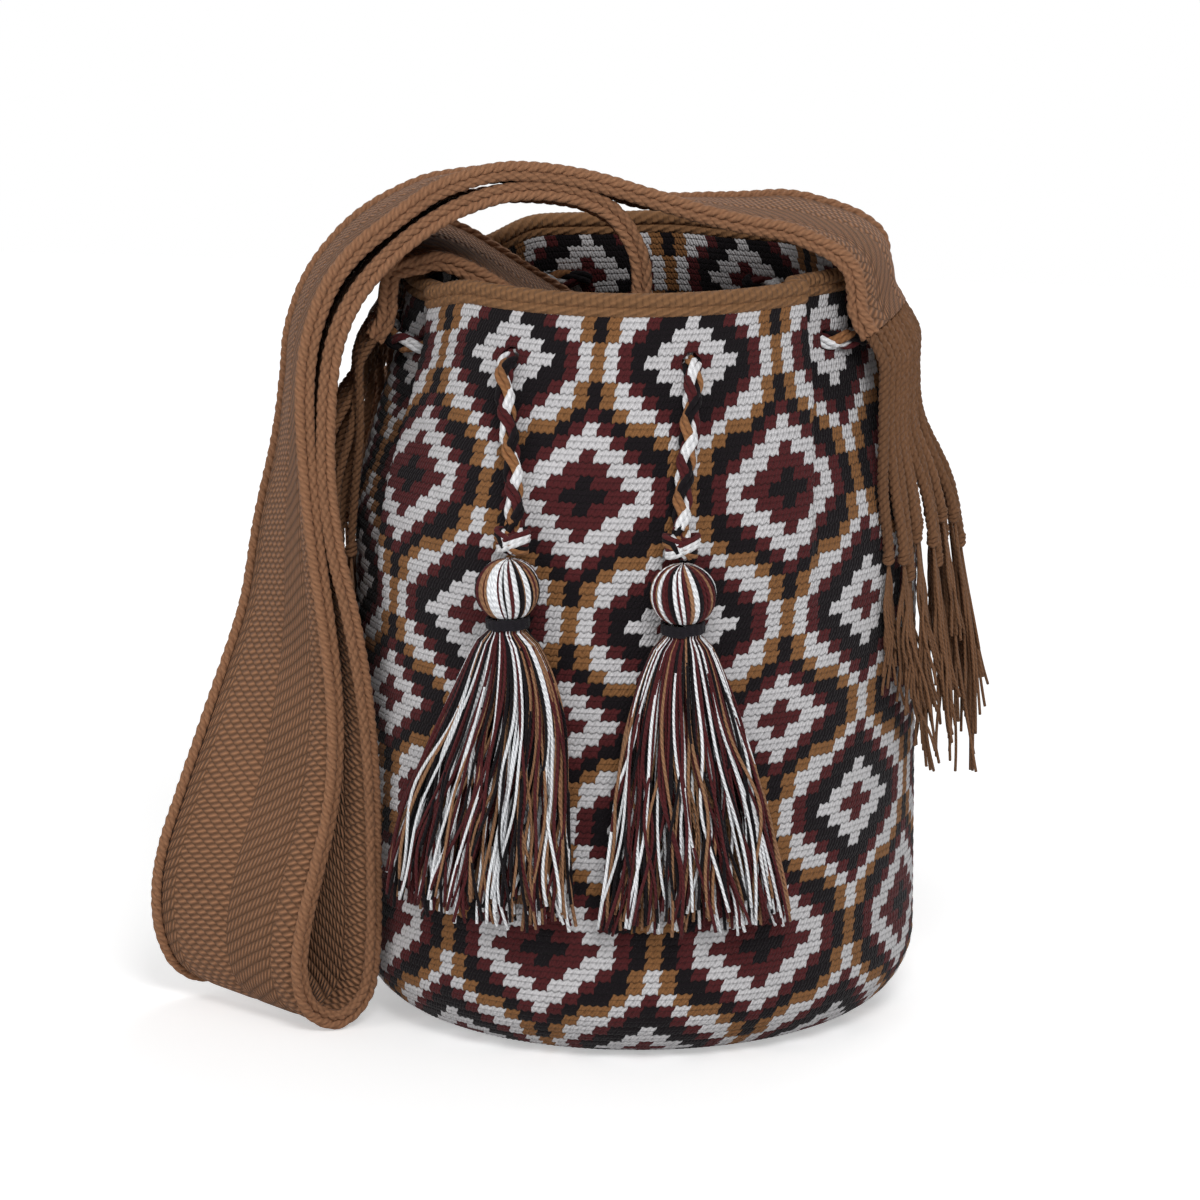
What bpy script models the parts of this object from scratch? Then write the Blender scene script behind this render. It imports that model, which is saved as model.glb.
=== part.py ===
"""Crocheted wayuu mochila: a bucket bag worked in rounds, with its woven shoulder strap, drawstring and tassels.

Metres, +Z up. The origin is the centre of the flat base. The front of the bag faces -Y, and the strap is
sewn on at +X and -X. An angle round the bag is counted from -Y towards +X.
"""
import math

import bmesh
import bpy
from mathutils import Matrix, Vector

# Bag wall
BELLY_RADIUS = 0.112
MOUTH_RADIUS = 0.090
WALL = 0.004
BASE_THICKNESS = 0.005
BASE_EDGE_RADIUS = 0.030
BAG_HEIGHT = 0.295
SHOULDER_HEIGHT = 0.190
ROUND_HEIGHT = 0.0098
ROUND_RELIEF = 0.0007
BAG_STEPS = 40

# Folds of the soft wall near the mouth
FRONT_PLEAT_ANGLE = math.radians(57.0)
PLEAT_DEPTH = 0.009
PLEAT_STEP = math.radians(6.0)
PLEAT_WIDTH = math.radians(30.0)
PLEAT_FOOT = 0.150
BACK_FOLD_DEPTH = 0.004
BACK_FOLDS = 5
SIDE_BULGE = 0.003
LEFT_DIP = 0.008
SEAM_ANGLE = math.radians(90.0)
DIP_HALF_WIDTH = math.radians(28.0)
FOLD_FADE = math.radians(27.0)

# Rim border, two crocheted rolls
RIM_HEIGHT = 0.009
RIM_WIDTH = 0.006
RIM_GROOVE = 0.0045

# Eyelets and drawstring
EYELET_COUNT = 8
EYELET_DROP = 0.018
EYELET_WIDTH = 0.0170
EYELET_TALL = 0.0115
CORD_DIAMETER = 0.0076
CORD_CLEARANCE = 0.0008
CROSSING = 0.0044
CORD_SECTION_RESOLUTION = 2

# Tassels
KNOT_SIZE = (0.015, 0.0106, 0.010)
KNOT_HEIGHT = 0.211
KNOT_STAND = 0.0105
TASSEL_ANGLES = {"left": math.radians(-14.0), "right": math.radians(17.5)}
HEM_ANGLES = {"left": math.radians(-23.5), "right": math.radians(20.5)}
HEAD_DIAMETER = 0.0255
HEAD_HEIGHT = 0.0225
HEAD_GAP = 0.0005
NECK_RADIUS = 0.0066
BINDING_THICKNESS = 0.0022
BINDING_HEIGHT = 0.0048
SKIRT_LENGTH = 0.118
HEM_HALF_WIDTHS = {"left": 0.044, "right": 0.037}
HEM_HALF_DEPTH = 0.0085
YARN_LOCKS = 13
LOCK_RELIEF = 0.12

# Shoulder strap
STRAP_WIDTH = 0.080
STRAP_THICKNESS = 0.005
STRAP_GROOVE = 0.0006
EDGE_BRAID_THICKNESS = 0.007
EDGE_BRAID_WIDTH = 0.008
STRAP_STATIONS = 62

# Fringe of twisted warp cords below each end of the strap
FRINGE_CORDS = 8
FRINGE_DIAMETER = 0.0048
LOOSE_END_DIAMETER = 0.0024
TWISTED_LENGTH = 0.100

CLEARANCE = 0.0003
MILLIMETRE = 0.001

# The strap hangs in planes that are turned a little from the bag's own: right, depth and height below
# are counted in this turned frame.
HANG_TURN = math.radians(9.5)

# Stations along the strap's front edge, from its left end, in millimetres: right, depth, height, then the
# turn of its width from straight back towards the left (degrees), how far its back edge lies below the
# front one, and how far its edges bend round the wall.
STRAP_ROUTE = (
    (-109.6, -22.2, 276.5, -9.5, 0, 8),
    (-105.7, -22.8, 283, -9.5, 0, 8),
    (-104.0, -23.2, 291.5, -9.5, 0, 7),
    (-98.5, -24, 302, -9.5, 0, 4),
    (-86, -25, 304, -5, 0, 2),
    (-77, -26, 304, 0, 0, 0),
    (-67, -28, 301, 0, 1, 0),
    (-57, -30, 296, 0, 2, 0),
    (-45, -34, 289, 0, 2, 0),
    (-32, -38, 280.5, 0, 1, 0),
    (-19, -42, 272, 0, 0, 0),
    (-8, -45, 269.5, 0, 0, 0),
    (-0.5, -48, 275, 0, 1, 0),
    (2, -50, 286, 0, 3, 0),
    (2, -50, 297, 0, 7, 0),
    (1.5, -50, 308, 0, 12, 0),
    (-2, -50, 318, 0, 15, 0),
    (-9, -50, 328, 0, 16, 0),
    (-20, -50, 334, 0, 16, 0),
    (-34, -50, 337, 0, 16, 0),
    (-49, -50, 336.5, 1, 15, 0),
    (-62, -50, 333, 2, 13.5, 0),
    (-74, -50, 327.5, 4, 11.5, 0),
    (-86, -50, 319.5, 6, 10, 0),
    (-98, -50, 309, 7, 10, 0),
    (-108, -50, 297, 7, 11, 0),
    (-115, -51, 284, 7, 12, 0),
    (-119, -52, 270, 6, 12, 0),
    (-121, -54, 250, 7, 7, 0),
    (-121, -56, 223, 10, 4, 0),
    (-117.5, -58, 196, 17, 2, 0),
    (-111, -60, 168, 25, 0, 0),
    (-106, -61, 138, 33, -2, 0),
    (-103, -61.5, 107, 42, -4, 0),
    (-102, -61, 70, 49, -5, 0),
    (-102.5, -59, 36, 49, -5, 0),
    (-106, -57, 14, 48, -5, 0),
    (-116.5, -60, 4.2, 47, -5, 0),
    (-127.5, -64, 10, 47, -5, 0),
    (-131.5, -66, 24, 49, -5, 0),
    (-130, -66, 42, 52, -5, 0),
    (-125.5, -65, 62, 54, -3, 0),
    (-119.5, -64, 88, 52, 0, 0),
    (-117, -63, 112, 45, 0, 0),
    (-117.5, -61.5, 136, 36, 0, 0),
    (-120, -60, 160, 27, 0, 0),
    (-124.5, -58, 192, 19, 0, 0),
    (-128, -56, 223, 11, 1, 0),
    (-129.5, -54, 253, 7, 4, 0),
    (-127.5, -52, 276, 7, 8, 0),
    (-121, -50, 296, 7, 10, 0),
    (-111, -50, 311, 7, 10, 0),
    (-97, -50, 323, 7, 9, 0),
    (-80, -50, 335.5, 5, 11, 0),
    (-66, -50, 341.5, 3, 13.5, 0),
    (-53, -50, 344.5, 1, 15, 0),
    (-40, -50, 344.5, 0, 16, 0),
    (-27, -50, 343, 0, 16, 0),
    (-12, -50, 339.5, 0, 16, 0),
    (1, -50, 335.5, 0, 16, 0),
    (15, -50, 331, 0, 13, 0),
    (30, -50.5, 326.5, 0, 8, 0),
    (45, -51, 323, 0, 4, 0),
    (58, -53, 321, -2, 1, 0),
    (69, -55, 318, -5, 0, 1),
    (79, -56, 314.5, -8, 0, 3),
    (87, -56, 308, -9.5, 0, 5),
    (91, -56, 298.5, -9.5, 0, 7),
    (92.5, -56, 291, -9.5, 0, 8),
    (96.4, -56.6, 284, -9.5, 0, 8),
)

# The drawstring's tails, from their eyelet to the knot: the share of the way from the eyelet's angle to the
# tassel's, the height in millimetres, and the share of the cord's full distance from the wall.
TAIL_ROUTE = ((0.0, 276.0, 0.0), (0.02, 275.4, 0.55), (0.08, 272.0, 1.0), (0.2, 265.0, 1.15), (0.38, 255.0, 1.1),
              (0.57, 244.0, 1.05), (0.75, 233.0, 1.1), (0.9, 224.0, 1.45), (1.0, 217.0, 1.85))

# One entry for each fringe cord across the strap: how far it hangs out from the belly and its loose end's
# length, both in millimetres.
FRINGE_HANG = {
    "left": ((1, 46), (5, 62), (2, 78), (9, 58), (3, 84), (10, 70), (1, 60), (4, 48)),
    "right": ((1, 46), (8, 66), (3, 78), (19, 58), (7, 88), (15, 70), (2, 60), (9, 48)),
}
FRINGE_KICK = 0.0048
FRINGE_KICK_DROP = 0.0085
FRINGE_LEAD = 0.0025

COLOURS = {
    "crochet": (0.30, 0.17, 0.13),
    "rim_yarn": (0.28, 0.15, 0.07),
    "strap_yarn": (0.19, 0.09, 0.05),
    "cord_yarn": (0.35, 0.22, 0.18),
    "tassel_yarn": (0.50, 0.38, 0.34),
    "binding_yarn": (0.02, 0.02, 0.03),
}
YARN_ROUGHNESS = 0.85


def clear_scene():
    for old in list(bpy.data.objects):
        bpy.data.objects.remove(old, do_unlink=True)


def new_collection(name):
    collection = bpy.data.collections.new(name)
    bpy.context.scene.collection.children.link(collection)
    return collection


def yarn_material(name):
    material = bpy.data.materials.new(name)
    material.use_nodes = True
    shader = material.node_tree.nodes["Principled BSDF"]
    shader.inputs["Base Color"].default_value = (*COLOURS[name], 1.0)
    shader.inputs["Roughness"].default_value = YARN_ROUGHNESS
    shader.inputs["Metallic"].default_value = 0.0
    return material


def smooth(value):
    """0 below 0, 1 above 1, and an even curve between."""
    t = min(max(value, 0.0), 1.0)
    return t * t * (3.0 - 2.0 * t)


def turned_round(angle):
    """The same angle between -180 and 180 degrees."""
    return math.atan2(math.sin(angle), math.cos(angle))


# The soft wall: its turned form and the folds that its own weight and the drawstring give it

def wall_radius(height):
    rise = (height - SHOULDER_HEIGHT) / (BAG_HEIGHT + RIM_HEIGHT - SHOULDER_HEIGHT)
    return BELLY_RADIUS - (BELLY_RADIUS - MOUTH_RADIUS) * smooth(rise)


def pleat(angle):
    """1 just past the crease where the front panel lies over the side, fading towards the seam."""
    past = abs(turned_round(angle)) - FRONT_PLEAT_ANGLE
    return smooth(past / PLEAT_STEP + 0.5) * (1.0 - smooth((past - PLEAT_STEP) / PLEAT_WIDTH))


def back_fold(angle):
    """Even waves across the back, gone before the strap's seams."""
    behind = turned_round(angle - math.pi)
    reach = smooth((SEAM_ANGLE - FOLD_FADE - abs(behind)) / FOLD_FADE)
    return reach * 0.5 * (1.0 - math.cos(2.0 * BACK_FOLDS * behind))


def seam_share(angle, half_width):
    """1 where the strap is sewn on, 0 past its sides; both seams alike."""
    off = abs(abs(turned_round(angle)) - SEAM_ANGLE)
    return 1.0 - smooth((off - half_width) / FOLD_FADE)


def on_wall(angle, height, offset=0.0):
    """A place given by its angle, its height before folding and its distance out from the wall."""
    gather = smooth((height - PLEAT_FOOT) / (BAG_HEIGHT - PLEAT_FOOT))
    lift = smooth((height - SHOULDER_HEIGHT) / (BAG_HEIGHT - SHOULDER_HEIGHT))
    fold = SIDE_BULGE * seam_share(angle, 0.5 * DIP_HALF_WIDTH) - PLEAT_DEPTH * pleat(angle)
    fold -= BACK_FOLD_DEPTH * back_fold(angle)
    radius = wall_radius(height) + gather * fold + offset
    dip = LEFT_DIP * seam_share(angle, DIP_HALF_WIDTH) if turned_round(angle) < 0.0 else 0.0
    return Vector((radius * math.sin(angle), -radius * math.cos(angle), height - lift * dip))


def fold_wall(mesh):
    """Moves a turned mesh's points to where the folded wall has them."""
    for vertex in mesh.vertices:
        x, y, z = vertex.co
        radius = math.hypot(x, y)
        if z > PLEAT_FOOT:
            vertex.co = on_wall(math.atan2(x, -y), z, radius - wall_radius(z))


# Ways of making a solid

def add_object(name, mesh, collection, material):
    made = bpy.data.objects.new(name, mesh)
    collection.objects.link(made)
    if material:
        mesh.materials.clear()
        mesh.materials.append(material)
    mesh.shade_smooth()
    mesh.set_sharp_from_angle(angle=math.radians(50.0))
    return made


def turned_mesh(name, profile, steps, closed):
    """Turns a profile of (radius, height) round Z with a Screw modifier. It runs down its outer side."""
    outline = bpy.data.meshes.new(name + "_profile")
    count = len(profile)
    edges = [(i, i + 1) for i in range(count - 1)]
    if closed:
        edges.append((count - 1, 0))
    outline.from_pydata([(radius, 0.0, height) for radius, height in profile], edges, [])
    turning = bpy.data.objects.new(name + "_turning", outline)
    bpy.context.scene.collection.objects.link(turning)
    screw = turning.modifiers.new("turn", "SCREW")
    screw.axis = "Z"
    screw.angle = 2.0 * math.pi
    screw.steps = steps
    screw.render_steps = steps
    screw.use_merge_vertices = True
    screw.merge_threshold = 0.00001
    solid = evaluated_mesh(turning)
    solid.name = name
    bpy.data.objects.remove(turning, do_unlink=True)
    return solid


def evaluated_mesh(source):
    bpy.context.view_layer.update()
    graph = bpy.context.evaluated_depsgraph_get()
    return bpy.data.meshes.new_from_object(source.evaluated_get(graph))


def lofted_mesh(name, rings):
    """A closed skin over rings of equally many points, with a flat cap on each end."""
    skin = bmesh.new()
    loops = [[skin.verts.new(point) for point in ring] for ring in rings]
    size = len(rings[0])
    for low, high in zip(loops, loops[1:]):
        for i in range(size):
            j = (i + 1) % size
            skin.faces.new((low[i], low[j], high[j], high[i]))
    skin.faces.new(list(reversed(loops[0])))
    skin.faces.new(loops[-1])
    bmesh.ops.recalc_face_normals(skin, faces=skin.faces)
    mesh = bpy.data.meshes.new(name)
    skin.to_mesh(mesh)
    skin.free()
    return mesh


def cord_object(name, points, radii, collection, material):
    """A cord as a POLY spline with a round bevel and filled caps."""
    curve = bpy.data.curves.new(name, "CURVE")
    curve.dimensions = "3D"
    curve.bevel_depth = 1.0
    curve.bevel_resolution = CORD_SECTION_RESOLUTION
    curve.use_fill_caps = True
    spline = curve.splines.new("POLY")
    spline.points.add(len(points) - 1)
    for point, place, radius in zip(spline.points, points, radii):
        point.co = (*place, 1.0)
        point.radius = radius
    curve.materials.append(material)
    made = bpy.data.objects.new(name, curve)
    collection.objects.link(made)
    return made


def along(route, share):
    """The value at a share of the way along a list of equally spaced values, on a smooth curve through them."""
    spot = share * (len(route) - 1)
    i = min(int(spot), len(route) - 2)
    t = spot - i
    before = route[max(i - 1, 0)]
    start = route[i]
    end = route[i + 1]
    after = route[min(i + 2, len(route) - 1)]
    values = []
    for a, b, c, d in zip(before, start, end, after):
        values.append(b + 0.5 * t * (c - a + t * (2 * a - 5 * b + 4 * c - d + t * (3 * (b - c) + d - a))))
    return values


# Bag body and rim

def body_profile():
    """The inside from the axis up to the mouth, then the outside down to the axis, with its crochet rounds."""
    base = BELLY_RADIUS - BASE_EDGE_RADIUS
    inner_edge = BASE_EDGE_RADIUS - WALL
    points = [(0.0, BASE_THICKNESS), (base, BASE_THICKNESS)]
    for turn in (35.0, 65.0, 90.0):
        angle = math.radians(turn)
        rise = BASE_THICKNESS + (BASE_EDGE_RADIUS - BASE_THICKNESS) * (1.0 - math.cos(angle))
        points.append((base + inner_edge * math.sin(angle), rise))
    for height in (0.110, PLEAT_FOOT, SHOULDER_HEIGHT, 0.215, 0.240, 0.262):
        points.append((wall_radius(height) - WALL, height))
    points.append((wall_radius(BAG_HEIGHT) - WALL, BAG_HEIGHT))
    points.append((wall_radius(BAG_HEIGHT), BAG_HEIGHT))
    rows = round((BAG_HEIGHT - BASE_EDGE_RADIUS) / (0.5 * ROUND_HEIGHT))
    for row in range(1, rows):
        height = BAG_HEIGHT - row * (BAG_HEIGHT - BASE_EDGE_RADIUS) / rows
        groove = ROUND_RELIEF if row % 2 else 0.0
        points.append((wall_radius(height) - groove, height))
    for turn in (90.0, 66.0, 42.0, 20.0, 0.0):
        angle = math.radians(turn)
        points.append((base + BASE_EDGE_RADIUS * math.sin(angle), BASE_EDGE_RADIUS * (1.0 - math.cos(angle))))
    points.append((0.0, 0.0))
    return points


def eyelet_angles():
    return [(k + 0.5) * 2.0 * math.pi / EYELET_COUNT for k in range(EYELET_COUNT)]


def eyelet_cutter(collection):
    """One mesh of eight oval plugs, each pointing in along its own radius."""
    plugs = bmesh.new()
    for angle in eyelet_angles():
        centre = on_wall(angle, BAG_HEIGHT - EYELET_DROP, -0.5 * WALL)
        shape = Matrix.Diagonal((EYELET_WIDTH, EYELET_TALL, 6.0 * WALL, 1.0))
        aim = Matrix.Rotation(angle, 4, "Z") @ Matrix.Rotation(math.radians(90.0), 4, "X")
        place = Matrix.Translation(centre) @ aim @ shape
        bmesh.ops.create_cone(plugs, cap_ends=True, segments=12, radius1=0.5, radius2=0.5, depth=1.0, matrix=place)
    mesh = bpy.data.meshes.new("eyelet_cutter")
    plugs.to_mesh(mesh)
    plugs.free()
    cutter = bpy.data.objects.new("eyelet_cutter", mesh)
    collection.objects.link(cutter)
    cutter.hide_render = True
    cutter.display_type = "WIRE"
    return cutter


def make_body(parts, cutters):
    mesh = turned_mesh("bag_body", body_profile(), BAG_STEPS, closed=False)
    fold_wall(mesh)
    body = add_object("bag_body", mesh, parts, yarn_material("crochet"))
    holes = body.modifiers.new("eyelets", "BOOLEAN")
    holes.operation = "DIFFERENCE"
    holes.object = eyelet_cutter(cutters)


def make_rim(parts):
    """A thick upper roll over a thinner lower one, worked onto the wall's last round."""
    middle = wall_radius(BAG_HEIGHT) - 0.5 * WALL
    low = BAG_HEIGHT + CLEARANCE
    top = BAG_HEIGHT + RIM_HEIGHT
    half = 0.5 * RIM_WIDTH
    groove = 0.5 * RIM_GROOVE
    waist = low + 0.36 * (top - low)
    side = ((0.55 * half, top), (half, top - 0.3 * (top - waist)), (half, waist + 0.2 * (top - waist)),
            (groove, waist), (0.85 * half, low + 0.4 * (waist - low)), (groove, low))
    profile = [(middle + out, height) for out, height in side]
    profile += [(middle - out, height) for out, height in reversed(side)]
    mesh = turned_mesh("rim_edging", profile, BAG_STEPS, closed=True)
    fold_wall(mesh)
    add_object("rim_edging", mesh, parts, yarn_material("rim_yarn"))


# Shoulder strap

def hang_point(right, depth, height):
    """A place in the turned frame of the strap, given in millimetres, as a place in the bag's own frame."""
    x = right * math.cos(HANG_TURN) - depth * math.sin(HANG_TURN)
    y = right * math.sin(HANG_TURN) + depth * math.cos(HANG_TURN)
    return Vector((x, y, height)) * MILLIMETRE


def strap_frames():
    """Centre, width direction, direction away from the face, and bend of each station along the strap."""
    centres = []
    widths = []
    bends = []
    for step in range(STRAP_STATIONS + 1):
        right, depth, height, turn, drop, bend = along(STRAP_ROUTE, step / STRAP_STATIONS)
        fall = math.asin(drop * MILLIMETRE / STRAP_WIDTH)
        angle = math.radians(turn)
        width = Vector((-math.sin(angle) * math.cos(fall), math.cos(angle) * math.cos(fall), -math.sin(fall)))
        width.rotate(Matrix.Rotation(HANG_TURN, 3, "Z"))
        centres.append(hang_point(right, depth, height) + 0.5 * STRAP_WIDTH * width)
        widths.append(width)
        bends.append(bend * MILLIMETRE)
    frames = []
    for i, centre in enumerate(centres):
        travel = (centres[min(i + 1, STRAP_STATIONS)] - centres[max(i - 1, 0)]).normalized()
        away = travel.cross(widths[i]).normalized()
        frames.append((centre, widths[i], away, bends[i]))
    return frames


def strap_point(frame, across, away):
    """A point of the strap: across is -1 at the front edge and 1 at the back one."""
    centre, width, out, bend = frame
    return centre + width * (0.5 * STRAP_WIDTH * across) + out * (away - bend * across * across)


def strap_section():
    """Half the strap's outline: shallow grooves between the woven zones, and a plaited edge."""
    edge = 1.0 - EDGE_BRAID_WIDTH / (0.5 * STRAP_WIDTH)
    face = 0.5 * STRAP_THICKNESS
    braid = 0.5 * EDGE_BRAID_THICKNESS
    face_side = ((-0.5 * (1.0 + edge), braid), (-edge, face - STRAP_GROOVE), (-0.5 * edge, face),
                 (0.0, face - STRAP_GROOVE), (0.5 * edge, face), (edge, face - STRAP_GROOVE),
                 (0.5 * (1.0 + edge), braid))
    other_side = [(across, -away) for across, away in reversed(face_side)]
    return [*face_side, (1.0, 0.0), *other_side, (-1.0, 0.0)]


def make_strap(parts):
    section = strap_section()
    rings = [[strap_point(frame, across, away) for across, away in section] for frame in strap_frames()]
    add_object("shoulder_strap", lofted_mesh("shoulder_strap", rings), parts, yarn_material("strap_yarn"))


# Fringe

def fringe_route(frame, leaving, across, out, loose_length):
    """Off the strap's end over the drawstring, then down the bag's belly at the given distance from it."""
    end = strap_point(frame, across, 0.0)
    start = end + FRINGE_LEAD * leaving
    angle = math.atan2(start.x, -start.y)
    start_radius = math.hypot(start.x, start.y)
    length = TWISTED_LENGTH + loose_length * MILLIMETRE
    points = [end + CLEARANCE * leaving, start]
    for share in (0.055, 0.13, 0.25, 0.4, 0.55, 0.7, 0.85, 1.0):
        drop = share * length
        height = start.z - drop
        kicked = start_radius + FRINGE_KICK * min(drop / FRINGE_KICK_DROP, 1.0)
        spread = smooth(share / 0.55) * (1.0 + 0.3 * smooth((share - 0.5) / 0.3))
        belly = wall_radius(height) + 0.5 * FRINGE_DIAMETER + CORD_CLEARANCE + spread * out * MILLIMETRE
        radius = max(kicked, belly)
        points.append(Vector((radius * math.sin(angle), -radius * math.cos(angle), height)))
    return points


def make_fringe(parts, side, frame, leaving, material):
    for number, (out, loose_length) in enumerate(FRINGE_HANG[side], start=1):
        across = -1.0 + (2.0 * number - 1.0) / FRINGE_CORDS
        points = fringe_route(frame, leaving, across, out, loose_length)
        full = 0.5 * FRINGE_DIAMETER
        radii = [full] * (len(points) - 2) + [0.8 * full, 0.5 * LOOSE_END_DIAMETER]
        cord_object(f"fringe_{side}_{number:02d}", points, radii, parts, material)


# Drawstring

def cord_offset(arc):
    """Distance of the cord's middle from the wall's middle, at an arc length from the nearest eyelet."""
    full = 0.5 * (WALL + CORD_DIAMETER) + CORD_CLEARANCE
    return full * math.tanh(arc / CROSSING)


def threaded_route():
    """From the front left eyelet round the back to the front right one, in and out through the others."""
    step = 2.0 * math.pi / EYELET_COUNT
    height = BAG_HEIGHT - EYELET_DROP
    radius = wall_radius(height)
    near = (0.0, 0.0021, 0.0042, 0.0066, 0.0105, 0.020)
    points = []
    for run in range(EYELET_COUNT - 1):
        outward = 1.0 if run % 2 else -1.0
        start = -0.5 * step - run * step
        arcs = [arc / radius for arc in near] + [0.5 * step] + [step - arc / radius for arc in reversed(near[1:])]
        for arc in arcs:
            to_nearest = min(arc, step - arc) * radius
            offset = outward * cord_offset(to_nearest) - 0.5 * WALL
            points.append(on_wall(start - arc, height, offset))
    last = -0.5 * step - (EYELET_COUNT - 1) * step
    points.append(on_wall(last, height, -0.5 * WALL))
    return points


def tail_route(side):
    """From the eyelet out and down the front of the bag to the knot's top."""
    eyelet = math.copysign(math.pi / EYELET_COUNT, TASSEL_ANGLES[side])
    full = 0.5 * (WALL + CORD_DIAMETER) + CORD_CLEARANCE
    points = []
    for share, height, out in TAIL_ROUTE:
        angle = eyelet + share * (TASSEL_ANGLES[side] - eyelet)
        points.append(on_wall(angle, height * MILLIMETRE, full * out - 0.5 * WALL))
    return points


def make_drawstring(parts, material):
    left = tail_route("left")
    right = tail_route("right")
    points = list(reversed(left)) + threaded_route()[1:-1] + right
    radii = [0.5 * CORD_DIAMETER] * len(points)
    cord_object("drawstring", points, radii, parts, material)


# Tassels

def knot_centre(side):
    return on_wall(TASSEL_ANGLES[side], KNOT_HEIGHT, KNOT_STAND)


def tassel_rings(side):
    """Sections from the head's top to the hem: half width, half depth, angle round the bag and height."""
    top = KNOT_HEIGHT - 0.5 * KNOT_SIZE[2] - HEAD_GAP
    head = 0.5 * HEAD_DIAMETER
    rings = []
    for turn in (12.0, 38.0, 65.0, 90.0, 115.0):
        angle = math.radians(turn)
        rings.append((head * math.sin(angle), head * math.sin(angle), 0.0,
                      top - 0.5 * HEAD_HEIGHT * (1.0 - math.cos(angle)), head))
    neck = top - HEAD_HEIGHT
    for drop in (0.5, BINDING_HEIGHT * 1000.0 + 1.0):
        rings.append((NECK_RADIUS, NECK_RADIUS, 0.0, neck - drop * MILLIMETRE, head))
    low = neck - BINDING_HEIGHT - MILLIMETRE
    for share in (0.07, 0.2, 0.4, 0.62, 0.82, 1.0):
        spread = share ** 0.75
        width = NECK_RADIUS + (HEM_HALF_WIDTHS[side] - NECK_RADIUS) * spread
        depth = NECK_RADIUS + (HEM_HALF_DEPTH - NECK_RADIUS) * smooth(share * 2.0)
        lean = share * share * (3.0 - 2.0 * share)
        seat = head + (depth - head) * smooth(share * 2.5)
        rings.append((width, depth, lean, low - share * SKIRT_LENGTH, seat))
    return rings


def tassel_mesh(side, name):
    """Lofts the tassel's sections, each wrapped round the wall, with its yarns as upright locks."""
    sections = []
    size = 2 * YARN_LOCKS
    turn = HEM_ANGLES[side] - TASSEL_ANGLES[side]
    for width, depth, lean, height, seat in tassel_rings(side):
        middle = TASSEL_ANGLES[side] + lean * turn
        base = wall_radius(height) + seat + CLEARANCE
        section = []
        for i in range(size):
            around = 2.0 * math.pi * i / size
            lock = 1.0 - LOCK_RELIEF * (i % 2)
            sideways = width * lock * math.sin(around)
            radius = base - depth * lock * math.cos(around)
            angle = middle + sideways / base
            section.append(Vector((radius * math.sin(angle), -radius * math.cos(angle), height)))
        sections.append(section)
    return lofted_mesh(name, sections)


def binding_mesh(name, centre):
    """A few turns of yarn round the neck, as one flat ring."""
    inner = NECK_RADIUS + CLEARANCE
    outer = inner + BINDING_THICKNESS
    half = 0.5 * BINDING_HEIGHT
    profile = ((inner, half), (0.5 * (inner + outer), half), (outer, 0.55 * half), (outer, -0.55 * half),
               (0.5 * (inner + outer), -half), (inner, -half))
    mesh = turned_mesh(name, profile, 16, closed=True)
    mesh.transform(Matrix.Translation(centre))
    return mesh


def make_tassel(parts, side, yarn, binding, cord):
    name = f"tassel_{side}"
    add_object(name, tassel_mesh(side, name), parts, yarn)
    neck = KNOT_HEIGHT - 0.5 * KNOT_SIZE[2] - HEAD_GAP - HEAD_HEIGHT
    height = neck - 0.5 * MILLIMETRE - 0.5 * BINDING_HEIGHT
    radius = wall_radius(height) + 0.5 * HEAD_DIAMETER + CLEARANCE
    angle = TASSEL_ANGLES[side]
    centre = Vector((radius * math.sin(angle), -radius * math.cos(angle), height))
    add_object(f"{name}_binding", binding_mesh(f"{name}_binding", centre), parts, binding)

    knot = bmesh.new()
    place = Matrix.Translation(knot_centre(side)) @ Matrix.Rotation(angle, 4, "Z") @ Matrix.Diagonal((*KNOT_SIZE, 1.0))
    bmesh.ops.create_uvsphere(knot, u_segments=12, v_segments=8, radius=0.5, matrix=place)
    mesh = bpy.data.meshes.new(f"{name}_knot")
    knot.to_mesh(mesh)
    knot.free()
    add_object(f"{name}_knot", mesh, parts, cord)


def build():
    clear_scene()
    parts = new_collection("mochila_bag")
    cutters = new_collection("cutters")
    make_body(parts, cutters)
    make_rim(parts)
    make_strap(parts)
    frames = strap_frames()
    strap = bpy.data.materials["strap_yarn"]
    for side, frame, way in (("left", frames[0], -1.0), ("right", frames[-1], 1.0)):
        make_fringe(parts, side, frame, way * frame[1].cross(frame[2]), strap)
    cord = yarn_material("cord_yarn")
    make_drawstring(parts, cord)
    yarn = yarn_material("tassel_yarn")
    binding = yarn_material("binding_yarn")
    for side in TASSEL_ANGLES:
        make_tassel(parts, side, yarn, binding, cord)


build()
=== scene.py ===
"""Looks of a crocheted mochila bag: stitched wall, woven strap, braided drawstring, tassels and fringe."""
import math
import random

import bmesh
import bpy
from mathutils import Matrix, Vector


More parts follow.
